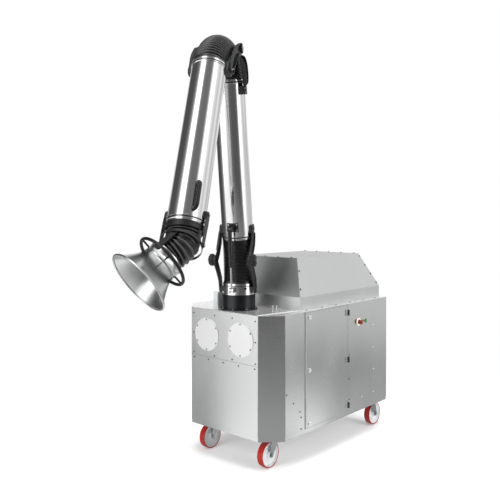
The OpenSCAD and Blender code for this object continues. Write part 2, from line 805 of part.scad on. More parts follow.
// Heads of the screws that hold the panels, and of the bolts of housing and flange
end_screw_y = [76, 264];
brace_screw_y = [130, 260];
deck_bolt_first = 32;
deck_bolt_last = 99;
deck_bolts = 6;
module cabinet_screws() {
    bolt_step = (house_len - deck_bolt_first - deck_bolt_last) / (deck_bolts - 1);
    color("dimgray") placed() {
        for (s = [-1, 1]) {
            for (i = [0:5]) rotate_about_inlet(s, i * 60) cylinder(r = screw_r, h = screw_h);
            for (y = end_screw_y, z = [end_seam + 14, body_high - 36]) end_screw(s * y, z);
            end_screw(s * end_screw_y[1], (end_seam + body_high) / 2 - 10);
            for (y = brace_screw_y) end_screw(s * y, end_seam - 17);
        }
        end_screw(0, end_seam - 17);
        for (k = [0:2]) near_screw(seam_x - 176 + 64.5 * k, z_base + 275 - 64.5 * k);
        for (z = [38, 110]) near_screw(seam_x - 35, z_base + z);
        for (z = [104, 243, 404]) near_screw(control_x + 14, z_base + z);
        for (z = [94, 256, 410, 568]) near_screw(stop_at + 190, z_base + z);
        near_screw(stop_at + 38, z_base + 89);
        for (k = [0:deck_bolts - 1], s = [-1, 1])
            translate([fx + house_back + deck_bolt_first + k * bolt_step, s * (house_wid / 2 + 26), z_deck])
                cylinder(r = 7, h = 5);
        for (i = [0:7]) translate([arm_x, 0, z_deck + 8]) rotate([0, 0, 22.5 + i * 45])
            translate([(flange_d + collar_d) / 4 + 0.5, 0, 0]) cylinder(r = 5, h = 4, $fn = 6);
    }
}
module end_screw(y, z) {
    translate([fx - screw_h, y, z_base + z]) rotate([0, 90, 0]) cylinder(r = screw_r, h = screw_h);
}
module rotate_about_inlet(s, a) {
    translate([fx - blank_t - screw_h, s * blank_gap / 2, z_base + blank_z]) rotate([a, 0, 0])
        translate([0, blank_pcd / 2, 0]) rotate([0, 90, 0]) children();
}

// Button collars on the near side and the cable gland on the rear
module electrical_fittings() {
    collar_r = stem_d / 2 + 4;
    color("black") placed() {
        for (x = [stop_at, start_at]) difference() {
            across(x, z_base + button_z, collar_r, -hw - 5, -hw);
            across(x, z_base + button_z, stem_d / 2 + run_gap, -hw - 6, -hw + 1);
        }
        translate([rx - sheet - 8, gland_y, z_base + gland_z]) rotate([0, 90, 0]) difference() {
            union() {
                cylinder(r = gland_r + 4 - run_gap / 2, h = gland_len);
                cylinder(r = 15, h = 8, $fn = 6);
                translate([0, 0, 8 + sheet]) cylinder(r = 15, h = 7, $fn = 6);
                translate([0, 0, 8 + sheet + 7]) cylinder(r1 = 13, r2 = 11.5, h = gland_len - 15 - sheet);
            }
            translate([0, 0, -1]) cylinder(r = gland_r, h = gland_len + 2);
        }
    }
}

module junction_box() {
    color("lightgray") placed() translate([arm_x - 75, 115, z_deck]) {
        cube([46, 40, 102]);
        translate([-3, 4, 12]) cube([3, 32, 78]);
    }
}

module emergency_stop() {
    color("red") placed() {
        across(stop_at, z_base + button_z, stem_d / 2, -hw - 12, -hw + 16);
        across(stop_at, z_base + button_z, mushroom_d / 2, -hw - 24, -hw - 16);
        translate([stop_at, -hw - 12, z_base + button_z]) rotate([90, 0, 0])
            cylinder(r1 = stem_d / 2, r2 = mushroom_d / 2, h = 4);
        translate([stop_at, -hw - 24, z_base + button_z]) rotate([90, 0, 0])
            cylinder(r1 = mushroom_d / 2, r2 = mushroom_d / 2 - 6, h = 3);
    }
}

module start_button() {
    color("green") placed() {
        across(start_at, z_base + button_z, stem_d / 2, -hw - 9, -hw + 16);
        translate([start_at, -hw - 9, z_base + button_z]) rotate([90, 0, 0])
            cylinder(r1 = stem_d / 2, r2 = stem_d / 2 - 2, h = 1.5);
    }
}

// Door

door_z0 = z_tray + door_gap;
door_z1 = z_under - door_gap;
module door() {
    high = door_z1 - door_z0;
    color("silver") placed() difference() {
        union() {
            translate([door_x0, -hw, door_z0]) difference() {
                cube([door_w, door_deep, high]);
                translate([sheet, sheet, sheet]) cube([door_w - 2 * sheet, door_deep - 2 * sheet, high - 2 * sheet]);
                translate([lip_w, sheet, lip_w]) cube([door_w - 2 * lip_w, door_deep, high - 2 * lip_w]);
            }
            for (z = hinge_z) translate([0, 0, z_base + z]) {
                translate([hinge_x - 24, -hw - 6, -20]) cube([24 - knuckle_r - 1, 6, 40]);
                translate([hinge_x - 24, -hw - 6, -knuckle_half]) cube([22, 6, 2 * knuckle_half]);
                translate([hinge_x, hinge_y, -knuckle_half]) cylinder(r = knuckle_r, h = 2 * knuckle_half);
            }
        }
        for (z = hinge_z) translate([hinge_x, hinge_y, z_base + z - 30])
            cylinder(r = hinge_pin_d / 2 + pin_gap, h = 60);
        for (z = lock_z) across(door_x0 + lock_in, z_base + z, lock_r + run_gap, -hw - 1, -hw + sheet + 1);
    }
}
knuckle_half = 6.7;
lock_r = 9;

module door_seal() {
    high = door_z1 - door_z0;
    color("black") placed() translate([door_x0, -hw + door_deep, door_z0]) difference() {
        cube([door_w, seal_t, high]);
        translate([lip_w - 2, -1, lip_w - 2]) cube([door_w - 2 * lip_w + 4, seal_t + 2, high - 2 * lip_w + 4]);
    }
}

// Fixed hinge halves with their pins
module door_hinges() {
    color("black") placed() for (z = hinge_z) translate([0, 0, z_base + z]) {
        translate([hinge_x + knuckle_r + 1, -hw - 6, -20]) cube([20, 6, 40]);
        for (s = [0, 1]) mirror([0, 0, s]) {
            translate([hinge_x, hinge_y, knuckle_half + run_gap]) cylinder(r = knuckle_r, h = 20 - knuckle_half - run_gap);
            translate([hinge_x + 2, -hw - 6, knuckle_half + run_gap])
                cube([knuckle_r, 6, 20 - knuckle_half - run_gap]);
        }
        translate([hinge_x, hinge_y, -18]) cylinder(r = hinge_pin_d / 2, h = 36);
    }
}

// Quarter-turn lock: round body with a key slot, and the tongue behind the door frame.
// The lowest one points up when it is open, the others down
spindle_r = 4;
tongue_long = 28;
tongue_short = 6;
module lock(k) {
    behind = frame_y + plate + 0.6;
    color("dimgray") placed() translate([door_x0 + lock_in, 0, z_base + lock_z[k]]) difference() {
        union() {
            across(0, 0, 13, -hw - 6, -hw - run_gap);
            across(0, 0, lock_r, -hw - 1, -hw + door_deep - sheet - 4);
            across(0, 0, spindle_r, -hw, behind + 4);
            mirror([0, 0, k == 0 ? 1 : 0]) translate([-8, behind, -tongue_long])
                cube([16, 4, tongue_long + tongue_short]);
        }
        translate([-7, -hw - 7, -1.5]) cube([14, 4, 3]);
    }
}

// Arm foot

flange_t = 8;
module arm_flange() {
    color("dimgray") placed() translate([arm_x, 0, z_deck]) difference() {
        union() {
            cylinder(d = flange_d, h = flange_t);
            cylinder(d = collar_d, h = collar_high);
        }
        translate([0, 0, -1]) cylinder(r = duct_r, h = collar_high + 2);
    }
}

lug_y = 9;
lug_t = 4;
slack_r = 11;
module swivel_ring() {
    color("silver") arm_plane() difference() {
        union() {
            translate([0, 0, ring_z]) cylinder(d = ring_d, h = ring_high);
            translate([0, 0, ring_z]) cylinder(d = ring_d + 6, h = 8);
            translate([0, 0, hose_z - 16]) cylinder(d = ring_d + 4, h = 12);
            both_sides() upright(lug_y, lug_t) union() {
                translate([gas_low_s, gas_low_z]) circle(r = slack_r + 5);
                translate([ring_d / 2 - 12, gas_low_z - 14]) square([gas_low_s - ring_d / 2 + 12, 28]);
            }
        }
        translate([0, 0, ring_z - 1]) cylinder(r = duct_r, h = ring_high + 2);
        across(gas_low_s, gas_low_z, slack_r, -20, 20);
        for (a = [40:80:320]) rotate([0, 0, a]) translate([duct_r - 2, -9, ring_z + 34]) cube([12, 18, 12]);
    }
}

// Foot bracket pair: rises from the ring to the lower pivot, with the friction stud
stud_r = 5;
foot_z = ring_z + 34;
module swivel_brackets() {
    ring_r = ring_d / 2;
    color("dimgray") arm_plane() both_sides() {
        difference() {
            union() {
                rimmed(outer_y, rim_deep, [
                    [24, foot_z, 26], [38, foot_z + 60, 26], [84, foot_z + 124, 26], [lift_s, lift_high, 30]
                ]);
                translate([8, 70, foot_z - 16]) cube([40, outer_y - 70 + eps, 32]);
            }
            translate([0, 0, ring_z - 1]) cylinder(r = ring_r, h = ring_high + 2);
            translate([0, 0, ring_z - 1]) cylinder(r = ring_r - 40, h = ring_high + 2);
        }
        across(lift_s, lift_high, pivot_d / 2, plate_y - 1, outer_y + eps);
        across(lift_s, lift_high, stud_r, outer_y + bracket_t - eps, knob_y + knob_t + 8);
        across(lift_s, lift_high, 12, outer_y + bracket_t - eps, outer_y + outer_t);
        across(24, foot_z, 7, outer_y + bracket_t - eps, outer_y + bracket_t + 5);
    }
}

module knob(side) {
    lobes = 8;
    grip_r = knob_d / 2;
    color("black") arm_plane() mirror([0, side, 0]) translate([lift_s, knob_y, lift_high])
        rotate([-90, 0, 0]) difference() {
            union() {
                linear_extrude(knob_t - 6) union() {
                    circle(r = grip_r - 4);
                    for (i = [0:lobes - 1]) rotate([0, 0, i * 360 / lobes]) translate([grip_r - 7, 0])
                        circle(r = 7);
                }
                cylinder(r1 = grip_r - 4, r2 = grip_r - 14, h = knob_t);
            }
            translate([0, 0, -1]) cylinder(r = stud_r + pin_gap, h = knob_t + 2);
        }
}

module base_hose() {
    top = [lift_s, lift_high] + turn_lean([-base_off, base_reach - hose_gap], lean);
    steps = rib_steps(top[1] - hose_z, base_pitch);
    color([0.1, 0.1, 0.1]) arm_plane()
        ribbed_hose(bend_stations([0, hose_z], 0, top, lean, steps), hose_d / 2, tube_r, tube_r);
}

// Polished tube with a clamp band at each end
band_w = 20;
band_t = 3;
module arm_tube(length) {
    difference() {
        union() {
            cylinder(r = tube_r, h = length);
            for (z = [6, length - band_w - 6]) translate([0, 0, z]) cylinder(r = tube_r + band_t, h = band_w);
        }
        translate([0, 0, -1]) cylinder(r = tube_r - tube_wall, h = length + 2);
    }
}

module inner_tube() {
    color("silver") inner_frame() translate([-base_off, 0, base_reach]) arm_tube(tube_len);
}

module outer_tube() {
    color("silver") outer_frame() translate([elbow_off, 0, -outer_drop - outer_len])
        arm_tube(outer_len);
}

// Pad between a bracket plate at y and the tube whose axis is at x
pad_sunk = 30;
module tube_pad(x, z, wide, high, y) {
    difference() {
        translate([x - wide / 2, tube_r - pad_sunk, z - high / 2])
            cube([wide, y - tube_r + pad_sunk + eps, high]);
        children();
    }
}

// Inner arm: two lower link arms, two elbow plates and the gas spring's clevis
module inner_brackets() {
    foot = base_reach + 60;
    head = base_reach + tube_len - 66;
    color("dimgray") inner_frame() {
        both_sides() {
            difference() {
                union() {
                    upright(plate_y, bracket_t) limb([
                        [0, 0, 30], [-52, 38, 26], [-96, 92, 26], [-base_off + 10, foot, 25]
                    ]);
                    tube_pad(-base_off + 8, foot, 64, 44, plate_y) tube_bore(-base_off);
                }
                across(0, 0, pivot_d / 2 + pin_gap, 0, outer_y);
            }
            difference() {
                union() {
                    upright(elbow_y, bracket_t) limb([
                        [elbow_x, elbow_z, 30], [elbow_x - 46, elbow_z - 90, 25], [-base_off + 32, head, 26]
                    ]);
                    tube_pad(-base_off + 26, head, 76, 50, elbow_y) tube_bore(-base_off);
                }
                across(elbow_x, elbow_z, pivot_d / 2 + pin_gap, 0, elbow_out);
            }
            across(-base_off + 10, foot, 7, plate_y + bracket_t, plate_y + bracket_t + 4);
            across(-base_off + 32, head, 7, elbow_y + bracket_t, elbow_y + bracket_t + 4);
            difference() {
                upright(lug_y, lug_t) union() {
                    translate([gas_top_x, gas_top_z]) circle(r = 12);
                    translate([-base_off + tube_r - 10, gas_top_z - 18])
                        square([gas_top_x + base_off - tube_r + 10, 30]);
                }
                tube_bore(-base_off);
            }
        }
        across(gas_top_x, gas_top_z, eye_pin_r, -lug_y - lug_t, lug_y + lug_t);
    }
}
module tube_bore(x) {
    translate([x, 0, -2 * tube_len]) cylinder(r = tube_r, h = 4 * tube_len);
}
eye_pin_r = 4;

// Gas spring, drawn along the line between its two eyes
gas_top = [lift_s, lift_high] + turn_lean([gas_top_x, gas_top_z], lean);
gas_low = [gas_low_s, gas_low_z];
gas_span = norm(gas_top - gas_low);
gas_lean = atan2(gas_top[0] - gas_low[0], gas_top[1] - gas_low[1]);
eye_r = 9;
eye_half = lug_y - 1;
module gas_frame() {
    arm_plane() translate([gas_top[0], 0, gas_top[1]]) rotate([0, gas_lean, 0]) children();
}

module gas_cylinder() {
    color("black") gas_frame() difference() {
        union() {
            across(0, 0, eye_r, -eye_half, eye_half);
            translate([0, 0, -20]) cylinder(r = 7, h = 20);
            translate([0, 0, -18 - gas_len]) cylinder(d = gas_d, h = gas_len);
        }
        across(0, 0, eye_pin_r + pin_gap, -eye_half - 1, eye_half + 1);
        translate([0, 0, -19 - gas_len]) cylinder(r = rod_d / 2 + pin_gap, h = gas_len - 9);
    }
}

module gas_rod() {
    color("silver") gas_frame() {
        translate([0, 0, -gas_span]) cylinder(d = rod_d, h = gas_span - 110);
        across(0, -gas_span, eye_r, -eye_half, eye_half);
        across(0, -gas_span, eye_pin_r, -lug_y - lug_t, lug_y + lug_t);
    }
}

// Elbow hose: straight cuffs joined by a bend that touches both tubes' axes
module elbow_hose() {
    near = [-elbow_off, cuff - elbow_drop];
    far = turn_lean([elbow_off, cuff - outer_drop], -fold);
    sweep = 180 - fold;
    steps = rib_steps(1.35 * norm(far - near), elbow_pitch);
    stations = concat(
        [[-elbow_off, -elbow_drop, 0]],
        bend_stations(near, 0, far, sweep, steps, 1.35),
        [concat(turn_lean([elbow_off, -outer_drop], -fold), sweep)]
    );
    color([0.1, 0.1, 0.1]) inner_frame() translate([elbow_x, 0, elbow_z])
        ribbed_hose(stations, elbow_hose_d / 2, tube_r, tube_r);
}

// Outer arm: two elbow plates with the pivot pins, the lower collar and the two arms
// that carry the universal joint's ring
module outer_brackets() {
    head = -outer_drop - 62;
    tube_end = -outer_drop - outer_len;
    arm_z = gimbal_local[1];
    color("dimgray") outer_frame() {
        both_sides() {
            rimmed(elbow_out, elbow_rim, [
                [0, 0, 31], [50, -44, 26], [80, -110, 25], [elbow_off - 30, head, 27]
            ]);
            tube_pad(elbow_off - 26, head, 76, 54, elbow_out) tube_bore(elbow_off);
            across(0, 0, pivot_d / 2, elbow_y - 1, elbow_out + eps);
            across(0, 0, 19, elbow_out + bracket_t - eps, elbow_out + elbow_t + 3);
            for (p = [[elbow_off - 42, head + 10], [elbow_off - 16, head - 10]])
                across(p[0], p[1], 6, elbow_out + bracket_t - eps, elbow_out + bracket_t + 6);
            difference() {
                union() {
                    upright(gimbal_y, bracket_t) limb([
                        [gimbal_local[0], arm_z, 15], [elbow_off + 4, tube_end + 10, 20],
                        [elbow_off, tube_end + 56, 17]
                    ]);
                    tube_pad(elbow_off, tube_end + 54, 34, 34, gimbal_y) tube_bore(elbow_off);
                }
                across(gimbal_local[0], arm_z, gimbal_pin_r + pin_gap, 0, gimbal_y + bracket_t + 1);
            }
            across(elbow_off, tube_end + 54, 6, gimbal_y + bracket_t - eps, gimbal_y + bracket_t + 4);
        }
    }
}
gimbal_pin_r = 6;

// Bow handle on the outer tube, turned to the front
handle_turn = 40;
handle_len = 150;
handle_mid = 130;
handle_out = 34;
module bow_handle() {
    bar_r = 9;
    color("black") outer_frame()
        translate([elbow_off, 0, -outer_drop - outer_len + handle_mid]) rotate([0, 0, handle_turn]) {
            difference() {
                for (s = [-1, 1]) translate([tube_r - 8, 0, s * (handle_len / 2 - bar_r)]) rotate([0, 90, 0])
                    cylinder(r = bar_r, h = handle_out + 8);
                translate([0, 0, -handle_len]) cylinder(r = tube_r, h = 2 * handle_len);
            }
            translate([tube_r + handle_out, 0, -handle_len / 2]) cylinder(r = bar_r, h = handle_len);
        }
}

// Ring of the universal joint with its two pairs of pivot pins
module gimbal_ring() {
    ring_out = gimbal_r + plate;
    color("black") gimbal_frame() {
        difference() {
            translate([0, 0, -gimbal_w / 2]) cylinder(r = ring_out, h = gimbal_w, $fn = 96);
            translate([0, 0, -gimbal_w / 2 - 1]) cylinder(r = gimbal_r, h = gimbal_w + 2, $fn = 96);
        }
        both_sides() {
            across(0, 0, gimbal_pin_r, ring_out - 1, gimbal_y + bracket_t + 1);
            across(0, 0, 10, gimbal_y + bracket_t + 1, gimbal_y + bracket_t + 6);
        }
        for (a = [0, 180]) rotate([0, 0, a]) translate([hood_plate_x - 2, 0, 0]) rotate([0, 90, 0])
            cylinder(r = gimbal_pin_r, h = gimbal_r - hood_plate_x + 4);
    }
}
hood_plate_t = 3;
hood_plate_x = gimbal_r - 4 - hood_plate_t;

module hood_hose_upper() {
    steps = rib_steps(gimbal_drop - cuff, hood_pitch);
    color([0.1, 0.1, 0.1]) outer_frame() translate([elbow_off, 0, -outer_drop - outer_len])
        ribbed_hose(
            concat([[0, 0, 180]], bend_stations([0, -cuff], 180, [gimbal_fore, -gimbal_drop], 180 - gimbal_tilt, steps)),
            hood_hose_d / 2, tube_r
        );
}

module hood_hose_lower() {
    steps = rib_steps(neck_start, hood_pitch);
    mouth = (neck_start - hose_gap) * [sin(-hood_turn), -cos(hood_turn)];
    color([0.1, 0.1, 0.1]) gimbal_frame() rotate([0, 0, -90])
        ribbed_hose(bend_stations([0, 0], 180, mouth, 180 + hood_turn, steps), hood_hose_d / 2, 0, neck_d / 2, 1);
}

// Spun hood: neck with a bead, flare that opens along a curve, rolled rim
flare_steps = 12;
function flare(t) = let (n = neck_d / 2, k = pow(t, 1.25))
    [n + (rim_r - n) * (0.75 * k + 0.25 * t * t), -neck_start - neck_len - flare_len * t];
module hood() {
    outer = concat(
        [[neck_d / 2, -neck_start], [neck_d / 2, -neck_start - 12], [neck_d / 2 + 0.7, -neck_start - 16],
            [neck_d / 2, -neck_start - 20]],
        [for (i = [0:flare_steps]) flare(i / flare_steps)]
    );
    inner = [for (i = [len(outer) - 1:-1:0]) outer[i] - [hood_wall, 0]];
    color("silver") hood_frame() {
        rotate_extrude($fn = 96) polygon(concat(outer, inner));
        rotate_extrude($fn = 96) translate([rim_r, -hood_len]) circle(r = rim_bead, $fn = 24);
    }
}

// Black fittings of the hood: two pivot plates and the ring handle on three posts
grip_z = -neck_start - neck_len + 8;
module hood_grip() {
    pad_z = -neck_start - 36;
    color("black") hood_frame() {
        for (a = [0, 180]) rotate([0, 0, a]) difference() {
            union() {
                translate([hood_plate_x, 0, 0]) rotate([90, 0, 90]) linear_extrude(hood_plate_t)
                    limb([[0, 0, 14], [0, pad_z, 18]]);
                translate([neck_d / 2 - 10, -18, pad_z - 16]) cube([hood_plate_x - neck_d / 2 + 10 + eps, 36, 32]);
            }
            translate([hood_plate_x - 1, 0, 0]) rotate([0, 90, 0]) cylinder(r = gimbal_pin_r + pin_gap, h = hood_plate_t + 2);
            translate([0, 0, -hood_len]) cylinder(r = neck_d / 2, h = hood_len, $fn = 96);
        }
        difference() {
            union() {
                translate([0, 0, grip_z]) rotate_extrude($fn = 96) translate([grip_ring_d / 2, 0])
                    circle(d = grip_d, $fn = 24);
                for (a = [45:90:315]) rotate([0, 0, a]) translate([0, 0, grip_z]) rotate([0, 90, 0])
                    cylinder(r = 5, h = grip_ring_d / 2);
            }
            translate([0, 0, -hood_len]) cylinder(r = neck_d / 2, h = hood_len, $fn = 96);
        }
    }
}

base_frame();
castor_plates();
front_panel();
inlet_panel();
blanking_plates();
corner_panels();
side_panel_near();
side_panel_far();
control_panel();
rear_panel();
top_deck();
filter_chamber();
hopper_plate();
filter_cassette();
fan_housing();
outlet_grille();
fan_motor();
fan_wheel();
cabinet_screws();
electrical_fittings();
junction_box();
door_hinges();
door();
door_seal();
lock(0);  // lock_low
lock(1);  // lock_middle
lock(2);  // lock_high
emergency_stop();
start_button();
arm_flange();
swivel_ring();
swivel_brackets();
knob(1);  // knob_left
knob(0);  // knob_right
base_hose();
inner_tube();
inner_brackets();
gas_cylinder();
gas_rod();
elbow_hose();
outer_tube();
outer_brackets();
bow_handle();
gimbal_ring();
hood_hose_upper();
hood_hose_lower();
hood();
hood_grip();
fork(0);  // fork_front_near
fork(1);  // fork_front_far
fork(2);  // fork_rear_near
fork(3);  // fork_rear_far
wheel(0);  // wheel_front_near
wheel(1);  // wheel_front_far
wheel(2);  // wheel_rear_near
wheel(3);  // wheel_rear_far
tyre(0);  // tyre_front_near
tyre(1);  // tyre_front_far
tyre(2);  // tyre_rear_near
tyre(3);  // tyre_rear_far
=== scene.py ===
from math import cos, pi, radians, sin
import bmesh
import bpy
from mathutils import Matrix, Vector


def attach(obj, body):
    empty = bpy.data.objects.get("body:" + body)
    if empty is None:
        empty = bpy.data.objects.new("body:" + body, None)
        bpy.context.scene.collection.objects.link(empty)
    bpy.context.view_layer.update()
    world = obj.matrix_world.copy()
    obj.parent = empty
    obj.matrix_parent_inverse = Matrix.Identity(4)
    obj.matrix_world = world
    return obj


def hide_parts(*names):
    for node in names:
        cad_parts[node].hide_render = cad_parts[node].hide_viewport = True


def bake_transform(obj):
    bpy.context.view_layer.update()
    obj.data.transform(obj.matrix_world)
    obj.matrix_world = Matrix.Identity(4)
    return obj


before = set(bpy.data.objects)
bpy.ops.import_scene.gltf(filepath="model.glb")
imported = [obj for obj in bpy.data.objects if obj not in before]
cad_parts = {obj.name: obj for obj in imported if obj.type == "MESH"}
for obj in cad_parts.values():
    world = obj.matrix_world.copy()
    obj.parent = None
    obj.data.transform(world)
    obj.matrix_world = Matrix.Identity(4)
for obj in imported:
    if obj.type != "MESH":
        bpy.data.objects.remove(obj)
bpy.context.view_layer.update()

mm = 0.001

# Camera and studio
# The photograph was taken from eye height in front of the sloped corner, with the
# camera held level and the picture shifted. Places are metres in the unit's frame.
unit = Vector((510.178, 74.0045, 0)) * mm
eye = Vector((-3486.05, -2750.29, 1534.34)) * mm + unit
heading = -48.293
photo_width = 500
focal_px = 635.29
picture_shift = -0.0686
sensor = 36

camera_data = bpy.data.cameras.new("photo_camera")
camera_data.sensor_width = sensor
camera_data.lens = focal_px * sensor / photo_width
camera_data.shift_y = picture_shift
camera = bpy.data.objects.new("photo_camera", camera_data)
camera.location = eye
camera.rotation_euler = (radians(90), 0, radians(heading))
bpy.context.scene.collection.objects.link(camera)
bpy.context.scene.camera = camera
bpy.context.scene.view_settings.view_transform = "Standard"


def linear(code):
    parts = [int(code[i:i + 2], 16) / 255 for i in (1, 3, 5)]
    return tuple(p / 12.92 if p <= 0.04045 else ((p + 0.055) / 1.055) ** 2.4 for p in parts) + (1.0,)


black, white = linear("#000000"), linear("#ffffff")


def add(tree, kind, sockets=None, **settings):
    made = tree.nodes.new("ShaderNode" + kind)
    for key, value in settings.items():
        setattr(made, key, value)
    for key, value in (sockets or {}).items():
        if isinstance(value, bpy.types.NodeSocket):
            tree.links.new(value, made.inputs[key])
        else:
            made.inputs[key].default_value = value
    return made


# Sockets of the node that mixes two colours
mix_share, mix_first, mix_second, mix_result = 0, 6, 7, 2


def mixed(tree, share, first, second, way="MIX"):
    return add(tree, "Mix", {mix_share: share, mix_first: first, mix_second: second},
               data_type="RGBA", blend_type=way).outputs[mix_result]


def between(tree, value, low, high):
    return add(tree, "MapRange", {"Value": value, "From Min": low, "From Max": high,
                                  "To Min": 0.0, "To Max": 1.0}).outputs["Result"]


def ramp(tree, factor, stops):
    made = add(tree, "ValToRGB", {"Fac": factor})
    band = made.color_ramp
    band.elements.remove(band.elements[1])
    band.elements[0].position, band.elements[0].color = stops[0][0], linear(stops[0][1])
    for place, code in stops[1:]:
        band.elements.new(place).color = linear(code)
    return made.outputs["Color"]


# Way round the unit from 0 to 1, with the camera in the middle of the range
def around_unit(tree, coordinate):
    turned = add(tree, "Mapping", {"Vector": coordinate, "Rotation": (0, 0, radians(90 - heading))},
                 vector_type="POINT")
    around = add(tree, "TexGradient", {"Vector": turned.outputs["Vector"]}, gradient_type="RADIAL")
    return around.outputs["Fac"]


# The studio seen all round: dark on the left, a soft box either side of the camera, pale
# paper on the right and behind. Below the horizon it goes on as the far floor.
wall_stops = [
    (0.0, "#4a4a4a"), (0.24, "#505050"), (0.29, "#7c7c7c"), (0.335, "#ffffff"), (0.43, "#ffffff"),
    (0.455, "#7c7c7c"), (0.52, "#6c6c6c"), (0.61, "#727272"), (0.65, "#ffffff"), (0.70, "#ffffff"),
    (0.74, "#e6e6e6"), (0.765, "#cccccc"), (0.785, "#d6d6d6"), (0.81, "#f4f4f4"), (0.853, "#bababa"),
    (0.90, "#d0d0d0"), (0.97, "#8c8c8c"), (1.0, "#4a4a4a")]
far_stops = [
    (0.0, "#8a8a8a"), (0.10, "#454545"), (0.20, "#505050"), (0.222, "#757575"), (0.248, "#8e8e8e"),
    (0.257, "#b6b6b6"), (0.264, "#e8e8e8"), (0.27, "#ffffff"), (0.38, "#ffffff"), (0.40, "#b4b4b4"),
    (0.47, "#767676"), (0.518, "#585858"), (0.60, "#565656"), (0.63, "#666666"), (0.652, "#949494"),
    (0.675, "#fafafa"), (0.72, "#ffffff"), (0.75, "#d4d4d4"), (0.77, "#c6c6c6"), (0.80, "#cccccc"),
    (0.855, "#bcbcbc"), (0.90, "#d8d8d8"), (1.0, "#8a8a8a")]
studio = bpy.data.worlds.new("studio")
studio.use_nodes = True
bpy.context.scene.world = studio
tree = studio.node_tree
way = add(tree, "TexCoord").outputs["Generated"]
factor = around_unit(tree, way)
level = add(tree, "SeparateXYZ", {"Vector": way}).outputs["Z"]
ahead = (sin(radians(-heading)), cos(radians(-heading)), 0)
behind = add(tree, "VectorMath", {0: way, 1: ahead}, operation="DOT_PRODUCT").outputs["Value"]


# Light that stands low in the studio: each band is dark, light, light, dark along the way
# round, and the bands grow from nothing at one level to their full light at another
def low_light(tree, edges, dark_level, full_level):
    codes = ("#000000", "#ffffff", "#ffffff", "#000000")
    stops = [stop for places in edges for stop in zip(places, codes)]
    return mixed(tree, between(tree, level, dark_level, full_level), black, ramp(tree, factor, stops))


low_paper = add(tree, "Math", {0: between(tree, level, 0.60, 0.35), 1: between(tree, behind, 0.70, 0.95)},
                operation="MULTIPLY").outputs["Value"]
room = mixed(tree, low_paper, ramp(tree, factor, wall_stops), white)
room = mixed(tree, between(tree, level, 0.12, 0.05), room, ramp(tree, factor, far_stops))
doorway = low_light(tree, [(0.268, 0.278, 0.33, 0.345)], 0.12, 0.02)
room = mixed(tree, 1.0, room, doorway, "ADD")
room = mixed(tree, between(tree, level, 0.84, 0.93), room, white)
box_feet = low_light(tree, [(0.32, 0.345, 0.42, 0.44), (0.64, 0.66, 0.695, 0.715)], -0.3, -0.05)
room = mixed(tree, 1.0, room, box_feet, "ADD")
rays = add(tree, "LightPath")
seen = mixed(tree, rays.outputs["Is Camera Ray"], room, white)
tree.links.new(seen, tree.nodes["Background"].inputs["Color"])


def soft_box(name, place, aim, width, high, power):
    lamp = bpy.data.lights.new(name, "AREA")
    lamp.shape = "RECTANGLE"
    lamp.size, lamp.size_y = width, high
    lamp.energy = power
    made = bpy.data.objects.new(name, lamp)
    made.location = place
    made.rotation_euler = (Vector(aim) - Vector(place)).to_track_quat("-Z", "Y").to_euler()
    made.visible_glossy = False
    bpy.context.scene.collection.objects.link(made)


middle = (0, 0, 1.0)
soft_box("overhead", (0.2, -0.2, 4.6), middle, 3.4, 3.4, 185)
soft_box("left_front", (-4.4, 0.2, 2.6), middle, 2.0, 2.6, 85)
soft_box("right_front", (0.6, -4.6, 2.4), middle, 2.4, 2.4, 95)

# Shapes
# A piece is a mesh of its own that rides on one body of the CAD. Most are turned
# shapes: rings of points, given as steps of radius and height, with a skin over them.


def piece(name, verts, faces, look, body, slot, place=None, sharp=35):
    mesh = bpy.data.meshes.new(name)
    mesh.from_pydata([tuple(v) for v in verts], [], faces)
    work = bmesh.new()
    work.from_mesh(mesh)
    bmesh.ops.recalc_face_normals(work, faces=work.faces)
    work.to_mesh(mesh)
    work.free()
    mesh.shade_smooth()
    mesh.set_sharp_from_angle(angle=radians(sharp))
    mesh.materials.append(look)
    made = bpy.data.objects.new(name, mesh)
    bpy.context.scene.collection.objects.link(made)
    if place is not None:
        made.matrix_world = place
    if body:
        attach(made, body)
    return made


def ring(r, z, sides):
    return [Vector((r * cos(2 * pi * i / sides), r * sin(2 * pi * i / sides), z)) for i in range(sides)]


def skin(first, rows, sides, closed):
    return [(first + k * sides + i, first + k * sides + (i + 1) % sides,
             first + (k + 1) % rows * sides + (i + 1) % sides, first + (k + 1) % rows * sides + i)
            for k in range(rows if closed else rows - 1) for i in range(sides)]


def end_caps(first, rows, sides):
    last = first + (rows - 1) * sides
    return [tuple(range(first, first + sides)), tuple(range(last, last + sides))]


# Closed turned shape about Z: the steps go right round the wall
def lathe(name, steps, look, body, slot, place, sides=128, sharp=35):
    verts = [v * mm for r, z in steps for v in ring(r, z, sides)]
    return piece(name, verts, skin(0, len(steps), sides, True), look, body, slot, place, sharp)


# The same head at many spots: each spot is (place, direction), in mm of the frame
def fasteners(name, place, spots, steps, sides, look, body, slot):
    verts, faces = [], []
    for spot, way in spots:
        on = Matrix.Translation(Vector(spot)) @ Vector(way).to_track_quat("Z", "Y").to_matrix().to_4x4()
        faces += skin(len(verts), len(steps), sides, False) + end_caps(len(verts), len(steps), sides)
        verts += [on @ v for r, z in steps for v in ring(r, z, sides)]
    return piece(name, [v * mm for v in verts], faces, look, body, slot, place, 25)


# Faces of eight corners given in the order of x, y and z
slab_faces = [(0, 1, 3, 2), (4, 6, 7, 5), (0, 4, 5, 1), (2, 3, 7, 6), (0, 2, 6, 4), (1, 5, 7, 3)]


# Flat strip of sheet between its low and high corner, in mm of the frame
def strip(name, low, high, look, body, slot, place):
    verts = [Vector((x, y, z)) * mm for x in (low[0], high[0]) for y in (low[1], high[1])
             for z in (low[2], high[2])]
    return piece(name, verts, slab_faces, look, body, slot, place)


